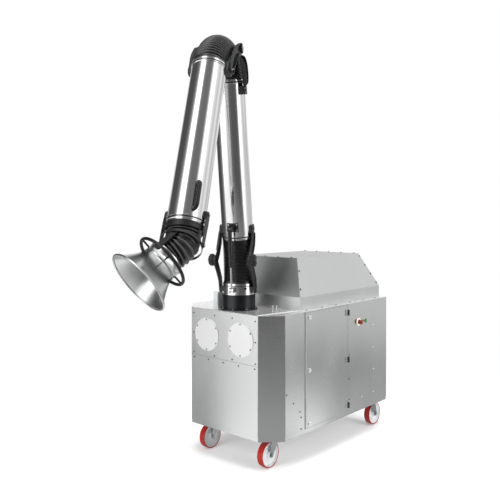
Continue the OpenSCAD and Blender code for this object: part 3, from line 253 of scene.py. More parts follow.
# Paper floor
# Pale paper. Metal sees it as light bands that change with the distance, and the camera
# sees it a little brighter, so that it joins the background under a soft shadow.
near_stops = [
    (0.0, "#ffffff"), (0.18, "#b4b4b4"), (0.248, "#989898"), (0.257, "#acacac"), (0.264, "#cccccc"),
    (0.27, "#e8e8e8"), (0.30, "#ffffff"), (0.40, "#ffffff"), (0.47, "#b0b0b0"), (0.518, "#a2a2a2"),
    (0.60, "#a4a4a4"), (0.70, "#c0c0c0"), (0.77, "#ffffff"), (0.779, "#f0f0f0"), (0.785, "#b8b8b8"),
    (0.82, "#b0b0b0"), (0.90, "#d0d0d0"), (1.0, "#ffffff")]
middle_stops = [
    (0.0, "#ffffff"), (0.18, "#a8a8a8"), (0.248, "#949494"), (0.257, "#b0b0b0"), (0.264, "#d8d8d8"),
    (0.27, "#f6f6f6"), (0.30, "#ffffff"), (0.40, "#ffffff"), (0.47, "#989898"), (0.518, "#848484"),
    (0.60, "#868686"), (0.70, "#909090"), (0.77, "#a0a0a0"), (0.80, "#969696"), (0.90, "#d0d0d0"),
    (1.0, "#ffffff")]
near_to_middle = (1.2, 2.6)
middle_to_far = (3.2, 5.6)
paper_to_white = (1.6, 3.2)
paper_lift = 0.2
floor_reach = 6

paper_floor = bpy.data.materials.new("paper_floor")
paper_floor.use_nodes = True
tree = paper_floor.node_tree
tree.nodes.remove(tree.nodes["Principled BSDF"])
rays = add(tree, "LightPath")
at = add(tree, "TexCoord").outputs["Object"]
factor = around_unit(tree, at)
from_unit = add(tree, "VectorMath", {0: at}, operation="LENGTH").outputs["Value"]
bands = mixed(tree, between(tree, from_unit, *near_to_middle), ramp(tree, factor, near_stops),
              ramp(tree, factor, middle_stops))
bands = mixed(tree, between(tree, from_unit, *middle_to_far), bands, ramp(tree, factor, far_stops))
mirrored = add(tree, "Emission", {"Color": bands})
matt = add(tree, "BsdfDiffuse", {"Color": linear("#ececec")})
lift = add(tree, "Emission", {"Color": white, "Strength": paper_lift})
bright = add(tree, "AddShader", {0: matt.outputs[0], 1: lift.outputs[0]})
plain_white = add(tree, "Emission", {"Color": white, "Strength": 1.0})
seen_floor = add(tree, "MixShader", {0: between(tree, from_unit, *paper_to_white), 1: bright.outputs[0],
                                     2: plain_white.outputs[0]})
lit_floor = add(tree, "MixShader", {0: rays.outputs["Is Glossy Ray"], 1: matt.outputs[0],
                                    2: mirrored.outputs[0]})
floor_finish = add(tree, "MixShader", {0: rays.outputs["Is Camera Ray"], 1: lit_floor.outputs[0],
                                       2: seen_floor.outputs[0]})
tree.links.new(floor_finish.outputs[0], tree.nodes["Material Output"].inputs["Surface"])

floor_corners = [(x * floor_reach, y * floor_reach, 0) for x, y in ((-1, -1), (1, -1), (1, 1), (-1, 1))]
floor = piece("paper_floor", floor_corners, [(0, 1, 2, 3)], paper_floor, None, None)


# Finishes
# Each finish is a principled shader with typical values, a slightly uneven roughness
# where the metal is worked, and edges rounded as the fold or mould leaves them.
def finish(name, **sockets):
    made = bpy.data.materials.new(name)
    made.use_nodes = True
    shader = made.node_tree.nodes["Principled BSDF"]
    for key, value in sockets.items():
        shader.inputs[key.replace("_", " ")].default_value = value
    return made, made.node_tree, shader


def uneven(tree, shader, cloud_mm, low, high, stretch=(1, 1, 1)):
    at = add(tree, "TexCoord")
    scaled = add(tree, "Mapping", {"Vector": at.outputs["Object"], "Scale": stretch})
    cloud = add(tree, "TexNoise", {"Vector": scaled.outputs["Vector"], "Scale": 1000 / cloud_mm,
                                   "Detail": 3.0, "Roughness": 0.55})
    spread = add(tree, "MapRange", {"Value": cloud.outputs["Fac"], "From Min": 0.3, "From Max": 0.7,
                                    "To Min": low, "To Max": high})
    tree.links.new(spread.outputs["Result"], shader.inputs["Roughness"])
    return cloud.outputs["Fac"]


def tinted(tree, shader, cloud, code_low, code_high):
    tint = mixed(tree, cloud, linear(code_low), linear(code_high))
    tree.links.new(tint, shader.inputs["Base Color"])


def rounded(tree, shader, edge_mm, samples=4):
    edge = add(tree, "Bevel", {"Radius": edge_mm * mm}, samples=samples)
    tree.links.new(edge.outputs["Normal"], shader.inputs["Normal"])
    return edge.outputs["Normal"]


def grained(tree, shader, edge_normal, height, strength, depth_mm):
    bump = add(tree, "Bump", {"Height": height, "Normal": edge_normal, "Strength": strength,
                              "Distance": depth_mm * mm})
    tree.links.new(bump.outputs["Normal"], shader.inputs["Normal"])


# Rolled sheet: a cloud a little longer upright, and the fine upright grain of the rolls
def sheet_steel(name, code_low, code_high, rough_low, rough_high, metallic=1.0):
    cloud_mm, grain_mm, grain_deep, fold_mm = 260, 5, 0.4, 2.5
    made, tree, shader = finish(name, Metallic=metallic)
    cloud = uneven(tree, shader, cloud_mm, rough_low, rough_high, (1, 1, 0.6))
    tinted(tree, shader, cloud, code_low, code_high)
    at = add(tree, "TexCoord")
    grain_at = add(tree, "Mapping", {"Vector": at.outputs["Object"], "Scale": (1, 1, 0.02)})
    grain = add(tree, "TexNoise", {"Vector": grain_at.outputs["Vector"], "Scale": 1000 / grain_mm,
                                   "Detail": 2.0})
    fold = rounded(tree, shader, fold_mm, 6)
    grained(tree, shader, fold, grain.outputs["Fac"], 0.012, grain_deep)
    return made


# Moulded plastic, rubber, paint or powder coat with its own fine grain
def moulded(name, code, roughness, grain_mm, depth_mm, ior=1.5):
    edge_mm = 1.5
    made, tree, shader = finish(name, Base_Color=linear(code), Roughness=roughness, IOR=ior)
    at = add(tree, "TexCoord")
    grain = add(tree, "TexNoise", {"Vector": at.outputs["Object"], "Scale": 1000 / grain_mm, "Detail": 3.0})
    grained(tree, shader, rounded(tree, shader, edge_mm), grain.outputs["Fac"], 0.4, depth_mm)
    return made


def worked_metal(name, code, rough_low, rough_high, cloud_mm, metallic=1.0):
    made, tree, shader = finish(name, Base_Color=linear(code), Metallic=metallic)
    uneven(tree, shader, cloud_mm, rough_low, rough_high)
    return made


def smooth_metal(name, code, roughness, **sockets):
    return finish(name, Base_Color=linear(code), Metallic=1.0, Roughness=roughness, **sockets)[0]


def dress(made, *names):
    for name in names:
        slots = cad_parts[name].data.materials
        if len(slots) == 0:
            slots.append(made)
        for i in range(len(slots)):
            slots[i] = made


# Cabinet sheets
# Folded panels of stainless sheet, mill finished: a soft grey shine, slightly uneven.
# The housing is more satin, the deck brighter, and what is inside is galvanised. The darker
# galvanised sheet also covers the door post as painted shade.
cabinet_sheet = sheet_steel("mill_finished_stainless", "#e0e1e1", "#eeefef", 0.2, 0.29)
housing_sheet = sheet_steel("satin_stainless", "#dcdddd", "#eaebeb", 0.36, 0.44)
deck_sheet = sheet_steel("bright_stainless_plate", "#f0f0f0", "#f8f8f8", 0.22, 0.3, 0.84)
inner_sheet_and_post_shade = sheet_steel("galvanised_sheet_and_post_shade", "#8f9394", "#b2b6b6", 0.4, 0.5)
dress(cabinet_sheet, "front_panel", "inlet_panel", "corner_panels", "side_panel_near", "side_panel_far",
      "control_panel", "rear_panel", "door", "door_hinges", "base_frame")
dress(housing_sheet, "fan_housing")
dress(deck_sheet, "top_deck")
dress(inner_sheet_and_post_shade, "filter_chamber", "hopper_plate", "outlet_grille", "fan_wheel")

# Blanking plates and locks
# Pale anodised aluminium, brighter than the sheet round them. The same pale finish is also
# put on the fold beside the door post as a painted highlight.
pale_plate_and_fold_highlight = worked_metal("anodised_plate_and_fold_highlight", "#f0f0f0", 0.3, 0.36, 120, 0.7)
dress(pale_plate_and_fold_highlight, "blanking_plates", "lock_low", "lock_middle", "lock_high")

# Castors
# Zinc plated forks and plates with a faint bluish cloud, nylon wheels and red
# polyurethane tyres.
zinc, tree, shader = finish("zinc_plate", Metallic=1.0)
tinted(tree, shader, uneven(tree, shader, 30, 0.28, 0.45), "#8f9496", "#c9cccb")
rounded(tree, shader, 1.5)
corners = ("front_near", "front_far", "rear_near", "rear_far")
dress(zinc, "castor_plates", *["fork_" + c for c in corners])
dress(moulded("nylon_wheel", "#e2e4e5", 0.42, 6, 0.15, 1.53), *["wheel_" + c for c in corners])
dress(moulded("polyurethane_tyre", "#a81e14", 0.36, 9, 0.2), *["tyre_" + c for c in corners])

# Cabinet places
# Millimetres from the middle of the cabinet, with the driving sizes of the CAD.
cabinet_at = Matrix.Translation(unit)
body_len, body_wid, body_high = 1300, 800, 750
fx, hw = -body_len / 2, body_wid / 2
z_base, tray_high, plate = 192, 25, 3
z_deck = z_base + body_high
z_tray, z_under = z_base + tray_high, z_deck - plate
end_seam = 447
seam_x, seam_w = fx + 306, 19
door_w, door_gap = 460, 5
door_x0 = seam_x + seam_w
door_x1 = door_x0 + door_w
door_z0, door_z1 = z_tray + door_gap, z_under - door_gap
control_x = door_x1 + door_gap + 2
stop_at = control_x + 134
start_at = stop_at + 83
button_at = z_base + 612
house_back, house_rear, house_wid, house_high = 334, 10, 690, 318
slope_front, slope_rear, slope_high = 100, 122, 238
house_x0, house_x1 = fx + house_back, -fx - house_rear
roof_x0, roof_x1, roof_z = house_x0 + slope_front, house_x1 - slope_rear, z_deck + house_high
arm_x = fx + 145
end_wall, side_wall, up = (-1, 0, 0), (0, -1, 0), (0, 0, 1)

# Panel screws
# Button head screws with a socket: dark steel on the end panels, the inlet section and
# beside the door, pale ones at the rear of the control panel.
screw_steel = worked_metal("dark_screw_steel", "#6f7274", 0.25, 0.4, 8)
bright_screw = worked_metal("zinc_plated_screw", "#d6d9da", 0.18, 0.3, 8)
pan_head = [(5, 0), (5, 1.2), (4.4, 2.0), (3.2, 2.5), (2.2, 2.5), (1.9, 1.6)]
blank_r, blank_gap, blank_z, blank_t = 95, 290, 588, 3
end_y, brace_y = (76, 264), (130, 260)
drop_step = 64.5


def on_end(y, z):
    return (fx, y, z_base + z), end_wall


def on_side(x, z):
    return (x, -hw, z_base + z), side_wall


spots = []
for s in (-1, 1):
    for a in [radians(60 * i) for i in range(6)]:
        spots.append(((fx - blank_t, s * blank_gap / 2 - blank_r * sin(a), z_base + blank_z + blank_r * cos(a)),
                      end_wall))
    spots += [on_end(s * y, z) for y in end_y for z in (end_seam + 14, body_high - 36)]
    spots.append(on_end(s * end_y[1], (end_seam + body_high) / 2 - 10))
    spots += [on_end(s * y, end_seam - 17) for y in brace_y]
spots.append(on_end(0, end_seam - 17))
spots += [on_side(seam_x - 176 + drop_step * k, 275 - drop_step * k) for k in range(3)]
spots += [on_side(seam_x - 35, z) for z in (38, 110)]
spots += [on_side(control_x + 14, z) for z in (104, 243, 404)]
pale_spots = [on_side(stop_at + 190, z) for z in (94, 256, 410, 568)] + [on_side(stop_at + 38, 89)]
for name, places, look in (
        ("panel_screws", spots, screw_steel), ("control_screws", pale_spots, pale_plate_and_fold_highlight)):
    heads = fasteners(name, cabinet_at, places, pan_head, 20, look, "cabinet", "bolt_steel")
    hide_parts("cabinet_screws")

# Deck bolts
# Zinc plated hexagon heads: flanged ones along both sides of the housing, and eight on
# the flange of the arm.
flange_head = [(8.5, 0), (8.5, 1.4), (6.6, 1.5), (6.6, 4.6), (5.6, 5.2)]
plain_head = [(5, 0), (5, 3.4), (4.2, 4)]
bolt_first, bolt_last, bolt_count, bolt_out = 32, 99, 6, 26
bolt_step = (house_x1 - house_x0 - bolt_first - bolt_last) / (bolt_count - 1)
flange_pitch, flange_t = 111.5, 8
deck_spots = [((house_x0 + bolt_first + bolt_step * k, s * (house_wid / 2 + bolt_out), z_deck), up)
              for k in range(bolt_count) for s in (-1, 1)]
flange_spots = [((arm_x + flange_pitch * cos(a), flange_pitch * sin(a), z_deck + flange_t), up)
                for a in [radians(22.5 + 45 * i) for i in range(8)]]
for name, places, head in (
        ("deck_bolts", deck_spots, flange_head), ("flange_bolts", flange_spots, plain_head)):
    heads = fasteners(name, cabinet_at, places, head, 6, bright_screw, "cabinet", "bolt_steel")
    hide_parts("cabinet_screws")

# Screws of the housing
# Blackened screws along its folded edges: the front and rear edge of the roof, and the
# front and rear edge of both side slopes. t goes down the slope from 0 to 1.
roof_steel = worked_metal("blackened_screw_steel", "#3c3e40", 0.3, 0.45, 8)
roof_head = [(6.4, 0), (6.4, 2.4), (5.2, 3.4), (3, 3.8)]
roof_inset = 13
edge_y, edge_run = 242, 103
slope_out = Vector((0, -slope_high, edge_run)).normalized()
spots = [((roof_x0 + roof_inset, y, roof_z), up) for y in (-188, -76, 36, 148)]
spots += [((roof_x1 - roof_inset, y, roof_z), up) for y in (-214, -103, 8, 119, 230)]
for s in (-1, 1):
    face = Vector((0, -s * slope_out.y, slope_out.z))
    for x, run, shares in ((roof_x1 - 12, 125, (0.09, 0.36, 0.63, 0.9)), (roof_x0 + 11, -103, (0.34, 0.8))):
        spots += [((x + run * t, s * (edge_y + edge_run * t), roof_z - slope_high * t), face) for t in shares]
fasteners("housing_screws", cabinet_at, spots, roof_head, 16, roof_steel, "cabinet", "bolt_steel")

# Deck by the arm's foot
# Two upright studs, two blackened screws, and a bright lap joint that runs across the
# deck from its front edge.
stud = [(5, 0), (5, 27), (4, 28)]
fasteners("deck_studs", cabinet_at, [((-405, -196, z_deck), up), ((-388, -214, z_deck), up)], stud, 20,
          bright_screw, "cabinet", "bolt_steel")
fasteners("deck_screws", cabinet_at, [((-300, -271, z_deck), up), ((-287, -287, z_deck), up)], roof_head, 16,
          roof_steel, "cabinet", "bolt_steel")
lap_from, lap_to = Vector((fx + 1, -283, z_deck)), Vector((-318, -342, z_deck))
lap_half, lap_rise = 3, 2.5
lap_side = (lap_to - lap_from).cross(Vector(up)).normalized() * lap_half
verts = [(end + side + Vector((0, 0, rise))) * mm for end in (lap_from, lap_to)
         for side in (-lap_side, lap_side) for rise in (0, lap_rise)]
piece("deck_lap", verts, slab_faces, pale_plate_and_fold_highlight, "cabinet", "deck_steel", cabinet_at)

# Door surround
# The cover strip of the post, in the darker galvanised sheet as painted shade, the fold
# beside it in pale plate as a painted highlight, and the lips of the door frame that show
# in the gap above, below and behind the door.
slit = 0.2
for name, low, high, look, slot in (
        ("post_cover_painted_shade", (seam_x + 0.6, -hw + 2, z_tray), (door_x0 - 6, -hw + 4, z_under), inner_sheet_and_post_shade,
         "cabinet_steel"),
        ("post_fold_painted_highlight", (door_x0 - 5.4, -hw + 0.6, z_tray), (door_x0 - 1, -hw + 4, z_under), pale_plate_and_fold_highlight,
         "deck_steel"),
        ("door_lip_top", (door_x0, -hw + 1, door_z1 + 1), (door_x1, -hw + 4, z_under - slit), cabinet_sheet,
         "cabinet_steel"),
        ("door_lip_bottom", (door_x0, -hw + 1, z_tray + slit), (door_x1, -hw + 4, door_z0 - 1), cabinet_sheet,
         "cabinet_steel"),
        ("door_lip_side", (door_x1 + 1, -hw + 1, z_tray + slit), (control_x - slit, -hw + 4, z_under - slit),
         cabinet_sheet, "cabinet_steel")):
    strip(name, low, high, look, "cabinet", slot, cabinet_at)

# Plastic and foam
# Black collars of the buttons, the cable gland and the hood's ring handle, black caps over
# the hinges, a foam seal behind the door and a light grey box behind the arm's collar.
black_plastic = moulded("black_polyamide", "#0f0f0f", 0.42, 4, 0.12, 1.53)
dress(black_plastic, "electrical_fittings", "hood_grip")
dress(moulded("grey_foam_seal", "#9c9d9d", 0.8, 3, 0.2, 1.45), "door_seal")
dress(moulded("grey_enclosure_plastic", "#c6c9ca", 0.4, 5, 0.1), "junction_box")
hinges = [((door_x1 + control_x) / 2, -hw - 8, z_base + z) for z in (72, 378, 692)]
barrel = [(6.2, 7.6), (6.2, 19.2), (5.4, 20.2), (3, 20.2)]
fasteners("hinge_barrels", cabinet_at, [(spot, (0, 0, s)) for spot in hinges for s in (-1, 1)], barrel, 24,
          black_plastic, "cabinet", "black_plastic")
knuckle = [(6.1, -7), (6.2, -6.8), (6.2, 6.8), (6.1, 7)]
fasteners("hinge_knuckles", cabinet_at, [(spot, up) for spot in hinges], knuckle, 24, black_plastic,
          "door_leaf", "black_plastic")

# Buttons
# A dull red mushroom and a green button, each with a plain cream ring round its collar,
# whose pale colour is partly a painted highlight round the button.
dress(moulded("red_button_plastic", "#7a1814", 0.34, 6, 0.05), "emergency_stop")
dress(moulded("green_button_plastic", "#1f8a3a", 0.28, 6, 0.05), "start_button")
cream_and_highlight_plastic = moulded("cream_and_highlight_plastic", "#f2ecd2", 0.45, 5, 0.05)
for name, x, r in (("stop_ring", stop_at, 26), ("start_ring", start_at, 16)):
    disc = [(r, 0.1), (r, 1.6), (r - 1, 2.4)]
    fasteners(name, cabinet_at, [((x, -hw, button_at), side_wall)], disc, 48, cream_and_highlight_plastic, "cabinet",
              "cabinet_steel")

# Fan motor and filter
# Enamelled motor on its bridge, and the pale pleated paper of the cassette.
dress(moulded("motor_enamel", "#4e5b66", 0.4, 12, 0.2), "fan_motor")
dress(moulded("filter_paper", "#dfe3e6", 0.85, 2, 0.3), "filter_cassette")

# Arm places
# Drawn in the arm's own upright plane, with the sizes and angles of the CAD. The upper
# tube ends lower at its head than in the CAD, by head_cut, as the photograph shows.
arm_swing = 205.9
hose_z = 1112.3
lift_s, lift_high, lean = 137, 1260, 11.3
base_off, base_reach, tube_len = 137, 113, 978
elbow_off, elbow_drop, fold = 124, 170, 33.7
outer_drop, outer_len, head_cut = 148, 1000, 55
gimbal_fore, gimbal_drop, gimbal_tilt = 16, 108, 24.2
hood_turn = -30
elbow_x = elbow_off - base_off
elbow_z = base_reach + tube_len + elbow_drop
outer_foot = -outer_drop - outer_len


def shift(x, y, z):
    return Matrix.Translation(Vector((x, y, z)) * mm)


def turn(angle, axis):
    return Matrix.Rotation(radians(angle), 4, axis)


arm_plane = Matrix.Translation(unit) @ shift(arm_x, 0, 0) @ turn(arm_swing, "Z")
inner_frame = arm_plane @ shift(lift_s, 0, lift_high) @ turn(lean, "Y")
outer_frame = inner_frame @ shift(elbow_x, 0, elbow_z) @ turn(-fold, "Y")
hood_top = outer_frame @ shift(elbow_off, 0, outer_foot)
gimbal_frame = hood_top @ shift(gimbal_fore, 0, -gimbal_drop) @ turn(-gimbal_tilt, "Y")
hood_frame = gimbal_frame @ turn(hood_turn, "X")

# Polished tubes
# Two thin stainless tubes, polished outside, with long soft reflections. A clamp band
# with two beads and a dark seal between them holds the hose at each end.
tube_r, tube_wall = 97.5, 1.5
band_w, band_t, band_in, bead_w = 20, 3, 6, 6
polished = smooth_metal("polished_stainless_tube", "#f4f4f4", 0.1, Anisotropic=0.3)
band_steel = smooth_metal("bright_band_steel", "#ececec", 0.16)


def bead(z, r):
    return [(r - 0.8, z), (r, z + 1), (r, z + bead_w), (r - 1, z + bead_w + 1)]


def arm_tube(name, body, place, length, node):
    bore, band_r = tube_r - tube_wall, tube_r + band_t
    tube = lathe(name, [(tube_r, 0), (tube_r, length), (bore, length), (bore, 0)],
                 polished, body, "polished_tube", place)
    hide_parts(node)
    for end, z in (("foot", band_in), ("head", length - band_w - band_in)):
        upper = [(r, 2 * z + band_w - h) for r, h in bead(z, band_r)[::-1]]
        foot, top = (tube_r + 0.2, z), (tube_r + 0.2, z + band_w)
        lathe(name + "_band_" + end, [foot] + bead(z, band_r) + upper + [top], band_steel, body, "bolt_steel",
              place)
        low, high = z + bead_w + 0.5, z + band_w - bead_w - 0.5
        seal = [(tube_r + 1, low), (band_r - 0.6, low), (band_r - 0.6, high), (tube_r + 1, high)]
        lathe(name + "_seal_" + end, seal, black_plastic, body, "black_plastic", place)


arm_tube("lower_tube", "inner_arm", inner_frame @ shift(-base_off, 0, base_reach), tube_len, "inner_tube")
arm_tube("upper_tube", "outer_arm", hood_top, outer_len - head_cut, "outer_tube")

# Ribbed hoses
# Black coated fabric over wire rings, pleated between them: fine at the foot, deeper at the
# elbow, coarse at the hood. The crests of the elbow and hood hoses are a lighter grey, a
# painted highlight. Each is shaped as a bend across the joint that it crosses.
hose_black = moulded("coated_hose_fabric", "#0e0e0e", 0.34, 5, 0.1, 1.6)
coat = hose_black.node_tree.nodes["Principled BSDF"].inputs
coat["Coat Weight"].default_value, coat["Coat Roughness"].default_value = 0.4, 0.25
# Lighter grey on the crests of the ribs: a painted highlight
crest_highlight_look = moulded("painted_crest_highlight_of_hose", "#3a3a3a", 0.28, 5, 0.1, 1.6)
hose_wall = 3
rib_rows, crest_highlight_rows = 10, 2
hose_sides = 96


def lean_turn(x, z, angle):
    a = radians(angle)
    return Vector((x * cos(a) + z * sin(a), z * cos(a) - x * sin(a)))


# Middle line of a hose from p to q, leaving at angle a and arriving at angle b. A larger
# pull makes it swing out more.
def bend(p, a, q, b, pull):
    p, q = Vector(p), Vector(q)
    k = pull * (q - p).length
    u = k * Vector((sin(radians(a)), cos(radians(a))))
    v = k * Vector((sin(radians(b)), cos(radians(b))))

    def at(t):
        h = 3 * t * t - 2 * t ** 3
        here = p + h * (q - p) + (t - 2 * t * t + t ** 3) * u + (t ** 3 - t * t) * v
        way = (6 * t - 6 * t * t) * (q - p) + (1 - 4 * t + 3 * t * t) * u + (3 * t * t - 2 * t) * v
        return here, way.normalized()
    return at


# cuff_r and cuff_len are the plain cuffs at both ends; a radius of 0 leaves the cuff out
def ribbed_hose(name, node, place, at, ribs, rib_deep, rib_r, cuff_r,
                cuff_len=(12, 12), crest=crest_highlight_look):
    count = ribs * rib_rows
    spots = [at(i / count) for i in range(count + 1)]
    reach = [0.0]
    for i in range(count):
        reach.append(reach[-1] + (spots[i + 1][0] - spots[i][0]).length)
    radii = []
    for i in range(count + 1):
        swell = (0.5 + 0.5 * cos(2 * pi * i / rib_rows)) ** 0.75
        r = rib_r - rib_deep + rib_deep * swell
        for gone, end, own in ((reach[i], cuff_len[0], cuff_r[0]),
                               (reach[-1] - reach[i], cuff_len[1], cuff_r[1])):
            if own and gone < end:
                r = own
        radii.append(r)
    loops = [(spots[i], radii[i]) for i in range(count + 1)]
    bore = rib_r - rib_deep - hose_wall
    loops += [(spots[i], bore) for i in range(count, -1, -rib_rows)]
    verts = [Vector((here[0] + v.x * way[1], v.y, here[1] - v.x * way[0])) * mm
             for (here, way), r in loops for v in ring(r, 0, hose_sides)]
    made = piece(name, verts, skin(0, len(loops), hose_sides, True), hose_black, None, None, place, 60)
    # Faces near each wire ring take the second finish, the painted crest highlight where one is given
    made.data.materials.append(crest)
    for face in made.data.polygons:
        k = face.index // hose_sides
        if k < count and min(k % rib_rows, rib_rows - 1 - k % rib_rows) < crest_highlight_rows:
            face.material_index = 1
    ends = [place @ (Vector((s[0][0], 0, s[0][1])) * mm) for s in (spots[0], spots[-1])]
    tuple(ends[0])
    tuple(ends[1])
    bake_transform(made)
    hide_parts(node)


foot_pitch = 9.5
foot_top = Vector((lift_s, lift_high)) + lean_turn(-base_off, base_reach, lean)
ribbed_hose("foot_hose", "base_hose", arm_plane, bend((0, hose_z), 0, foot_top, lean, 1),
            int((foot_top[1] - hose_z) / foot_pitch), 5, 98, (tube_r, tube_r),
            crest=hose_black)

near = Vector((-elbow_off, -elbow_drop))
far = lean_turn(elbow_off, -outer_drop - head_cut, -fold)
ribbed_hose("elbow_hose_pleated", "elbow_hose", inner_frame @ shift(elbow_x, 0, elbow_z),
            bend(near, 0, far, 180 - fold, 1.52), 36, 10, 93, (tube_r, tube_r))

# The lower hose of the hood goes further onto the neck than in the CAD, as photographed
neck_start = 100
mouth = (neck_start * sin(radians(-hood_turn)), -neck_start * cos(radians(hood_turn)))
ribbed_hose("hood_hose_above", "hood_hose_upper", hood_top,
            bend((0, 0), 180, (gimbal_fore, -gimbal_drop), 180 - gimbal_tilt, 1),
            5, 13, 89, (tube_r, 0), (12, 0))
ribbed_hose("hood_hose_below", "hood_hose_lower", gimbal_frame @ turn(-90, "Z"),
            bend((0, 0), 180, mouth, 180 + hood_turn, 1),
            5, 12, 86, (0, 92), (0, 5))

# Spun hood
# Aluminium spun over a former, satin from the tool, with a bead where the hose ends, one
# where the flare begins, and a rolled rim.
neck_r, neck_len = 96, 60
flare_len, rim_r, rim_bead = 127, 168, 5
hood_wall = 1.5
flare_z = -neck_start - neck_len
hood_len = neck_start + neck_len + flare_len
spun = smooth_metal("spun_aluminium", "#dcdddd", 0.2, Anisotropic=0.6)


def flare(t):
    return (neck_r + (rim_r - neck_r) * (0.75 * t ** 1.25 + 0.25 * t * t), flare_z - flare_len * t)


outside = [(neck_r + out, -neck_start - down)
           for out, down in ((0, 0), (0, 12), (0.5, 13.5), (0.7, 16), (0.5, 18.5), (0, 20))]
outside += [(neck_r + out, flare_z + rise) for out, rise in ((0, 9), (1.6, 7), (2, 4.5), (1.6, 2))]
outside += [flare(i / 40) for i in range(40)]
inside = [(r - hood_wall, z) for r, z in outside]
roll = [(rim_r + rim_bead * cos(radians(a)), -hood_len + rim_bead * sin(radians(a)))
        for a in range(120, -200, -20)]
shell = lathe("spun_hood", outside + roll + inside[::-1], spun, "hood_body", "spun_hood", hood_frame, 160, 50)
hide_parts("hood")

# Black brackets and foot ring
# Pressed steel channels and plates, powder coated black with a faint orange peel. The
# collar at the foot is dark anodised and the turning ring on it bright turned steel.
black_bracket = moulded("black_powder_coat", "#1a1b1c", 0.38, 3, 0.1)
dress(black_bracket, "swivel_brackets", "inner_brackets", "outer_brackets", "gimbal_ring")
dress(worked_metal("dark_anodised_collar", "#3c3d3f", 0.3, 0.42, 20), "arm_flange")
dress(smooth_metal("turned_ring_steel", "#ececec", 0.15), "swivel_ring")


# Smooth line through the points, with even steps between one point and the next
def smooth_line(path, steps=8):
    points = [Vector(path[0])] + [Vector(q) for q in path] + [Vector(path[-1])]
    line = []
    for i in range(1, len(points) - 2):
        a, b, c, d = points[i - 1:i + 3]
        for t in [k / steps for k in range(steps)]:
            line.append(0.5 * (2 * b + (c - a) * t + (2 * a - 5 * b + 4 * c - d) * t * t
                               + (3 * b - a - 3 * c + d) * t ** 3))
    return line + [points[-1]]


# Folded edges of the pressed brackets: bands that stand out from both edges of a plate,
# along a smooth line through (x, z, half width), deepest halfway. face is the outer face
# of the plate.
def folded_edges(name, place, body, path, face, deep):
    metal_t, least, bury = 3.5, 2, 1
    line = smooth_line(path)
    last = len(line) - 1
    verts, faces = [], []
    for side, edge in [(s, e) for s in (-1, 1) for e in (-1, 1)]:
        faces += skin(len(verts), len(line), 4, False) + end_caps(len(verts), len(line), 4)
        for i, q in enumerate(line):
            ahead = line[min(i + 1, last)] - line[max(i - 1, 0)]
            across = Vector((-ahead.y, ahead.x)).normalized() * edge
            high = face + least + (deep - least) * sin(pi * i / last) ** 0.5
            for far, y in ((0, face - bury), (-metal_t, face - bury), (-metal_t, high), (0, high)):
                spot = Vector((q.x, q.y)) + across * (q.z + far)
                verts.append(Vector((spot.x, side * y, spot.y)) * mm)
    piece(name, verts, faces, black_bracket, body, "black_bracket", place, 30)


link_face, elbow_face, arch_face = 108.5, 113.5, 119
folded_edges("lower_link_edges", inner_frame, "inner_arm",
             [(-44, 33, 26), (-72, 60, 26), (-100, 98, 26), (-base_off + 10, base_reach + 40, 25)],
             link_face, 9)
folded_edges("elbow_link_edges", inner_frame, "inner_arm",
             [(elbow_x - 24, elbow_z - 46, 25), (elbow_x - 50, elbow_z - 100, 25),
              (-base_off + 32, base_reach + tube_len - 44, 25)], elbow_face, 24)
folded_edges("elbow_arch_edges", outer_frame, "outer_arm",
             [(36, -32, 26), (50, -44, 26), (80, -110, 25), (elbow_off - 30, -outer_drop - 40, 25)],
             arch_face, 16)

# Bright bolts of the brackets
# Zinc plated hexagon heads on their washers, set on the black bosses and pins of the CAD.
bracket_head = [(6.4, 0), (6.4, 1), (5.2, 1.1), (5.2, 3.6), (4.4, 4.2)]
pivot_head = [(13, 0), (13, 1.5), (9.5, 1.6), (9.5, 5.4), (8, 6.4)]
boss = 4
for name, at_frame, body, head, places in (
        ("foot_bolts", arm_plane, "swivel", bracket_head, [(24, 119.1, hose_z - 40)]),
        ("link_bolts", inner_frame, "inner_arm", bracket_head,
         [(10 - base_off, link_face + boss, base_reach + 60),
          (32 - base_off, elbow_face + boss, base_reach + tube_len - 66)]),
        ("elbow_bolts", outer_frame, "outer_arm", bracket_head,
         [(elbow_off - 42, 125.1, -outer_drop - 52), (elbow_off - 16, 125.1, -outer_drop - 72),
          (elbow_off, 119, outer_foot + 54)]),
        ("elbow_pivots", outer_frame, "outer_arm", pivot_head, [(0, 132.1, 0)]),
        ("hood_pivots", gimbal_frame, "hood_ring", bracket_head, [(0, 121, 0)])):
    spots = [((x, s * y, z), (0, s, 0)) for x, y, z in places for s in (-1, 1)]
    fasteners(name, at_frame, spots, head, 6, bright_screw, body, "bolt_steel")

# Clamping knobs
# Moulded black star knobs with eight lobes and a domed face, each on a stud with a
# bright cap nut.
knob_y, knob_t, knob_r = 118.7, 34, 38
lobes, lobe_deep, face_z = 8, 6, 31
knob_sides = 96
knob_steps = [(0.80, 0), (0.93, 1.5), (0.98, 4), (1.0, 9), (1.0, 20), (0.97, 25), (0.90, 29), (0.78, 32),
              (0.62, 33.6), (0.44, knob_t)]
knob_bore = [(14, knob_t), (13, knob_t - 1), (5.1, knob_t - 1), (5.1, 0)]
cap_nut = [(9, 33.2), (9, 34.8), (7.4, 35), (7.4, 39), (6.4, 41.2), (4, 42.6), (1, 43), (1, 33.2)]


def lobed(share, z, i):
    a = 2 * pi * i / knob_sides
    wave = max(0, cos(lobes * a)) ** 0.6 * (1 if z < face_z else 0.4)
    r = share * (knob_r - lobe_deep + lobe_deep * wave)
    return Vector((r * cos(a), r * sin(a), z))


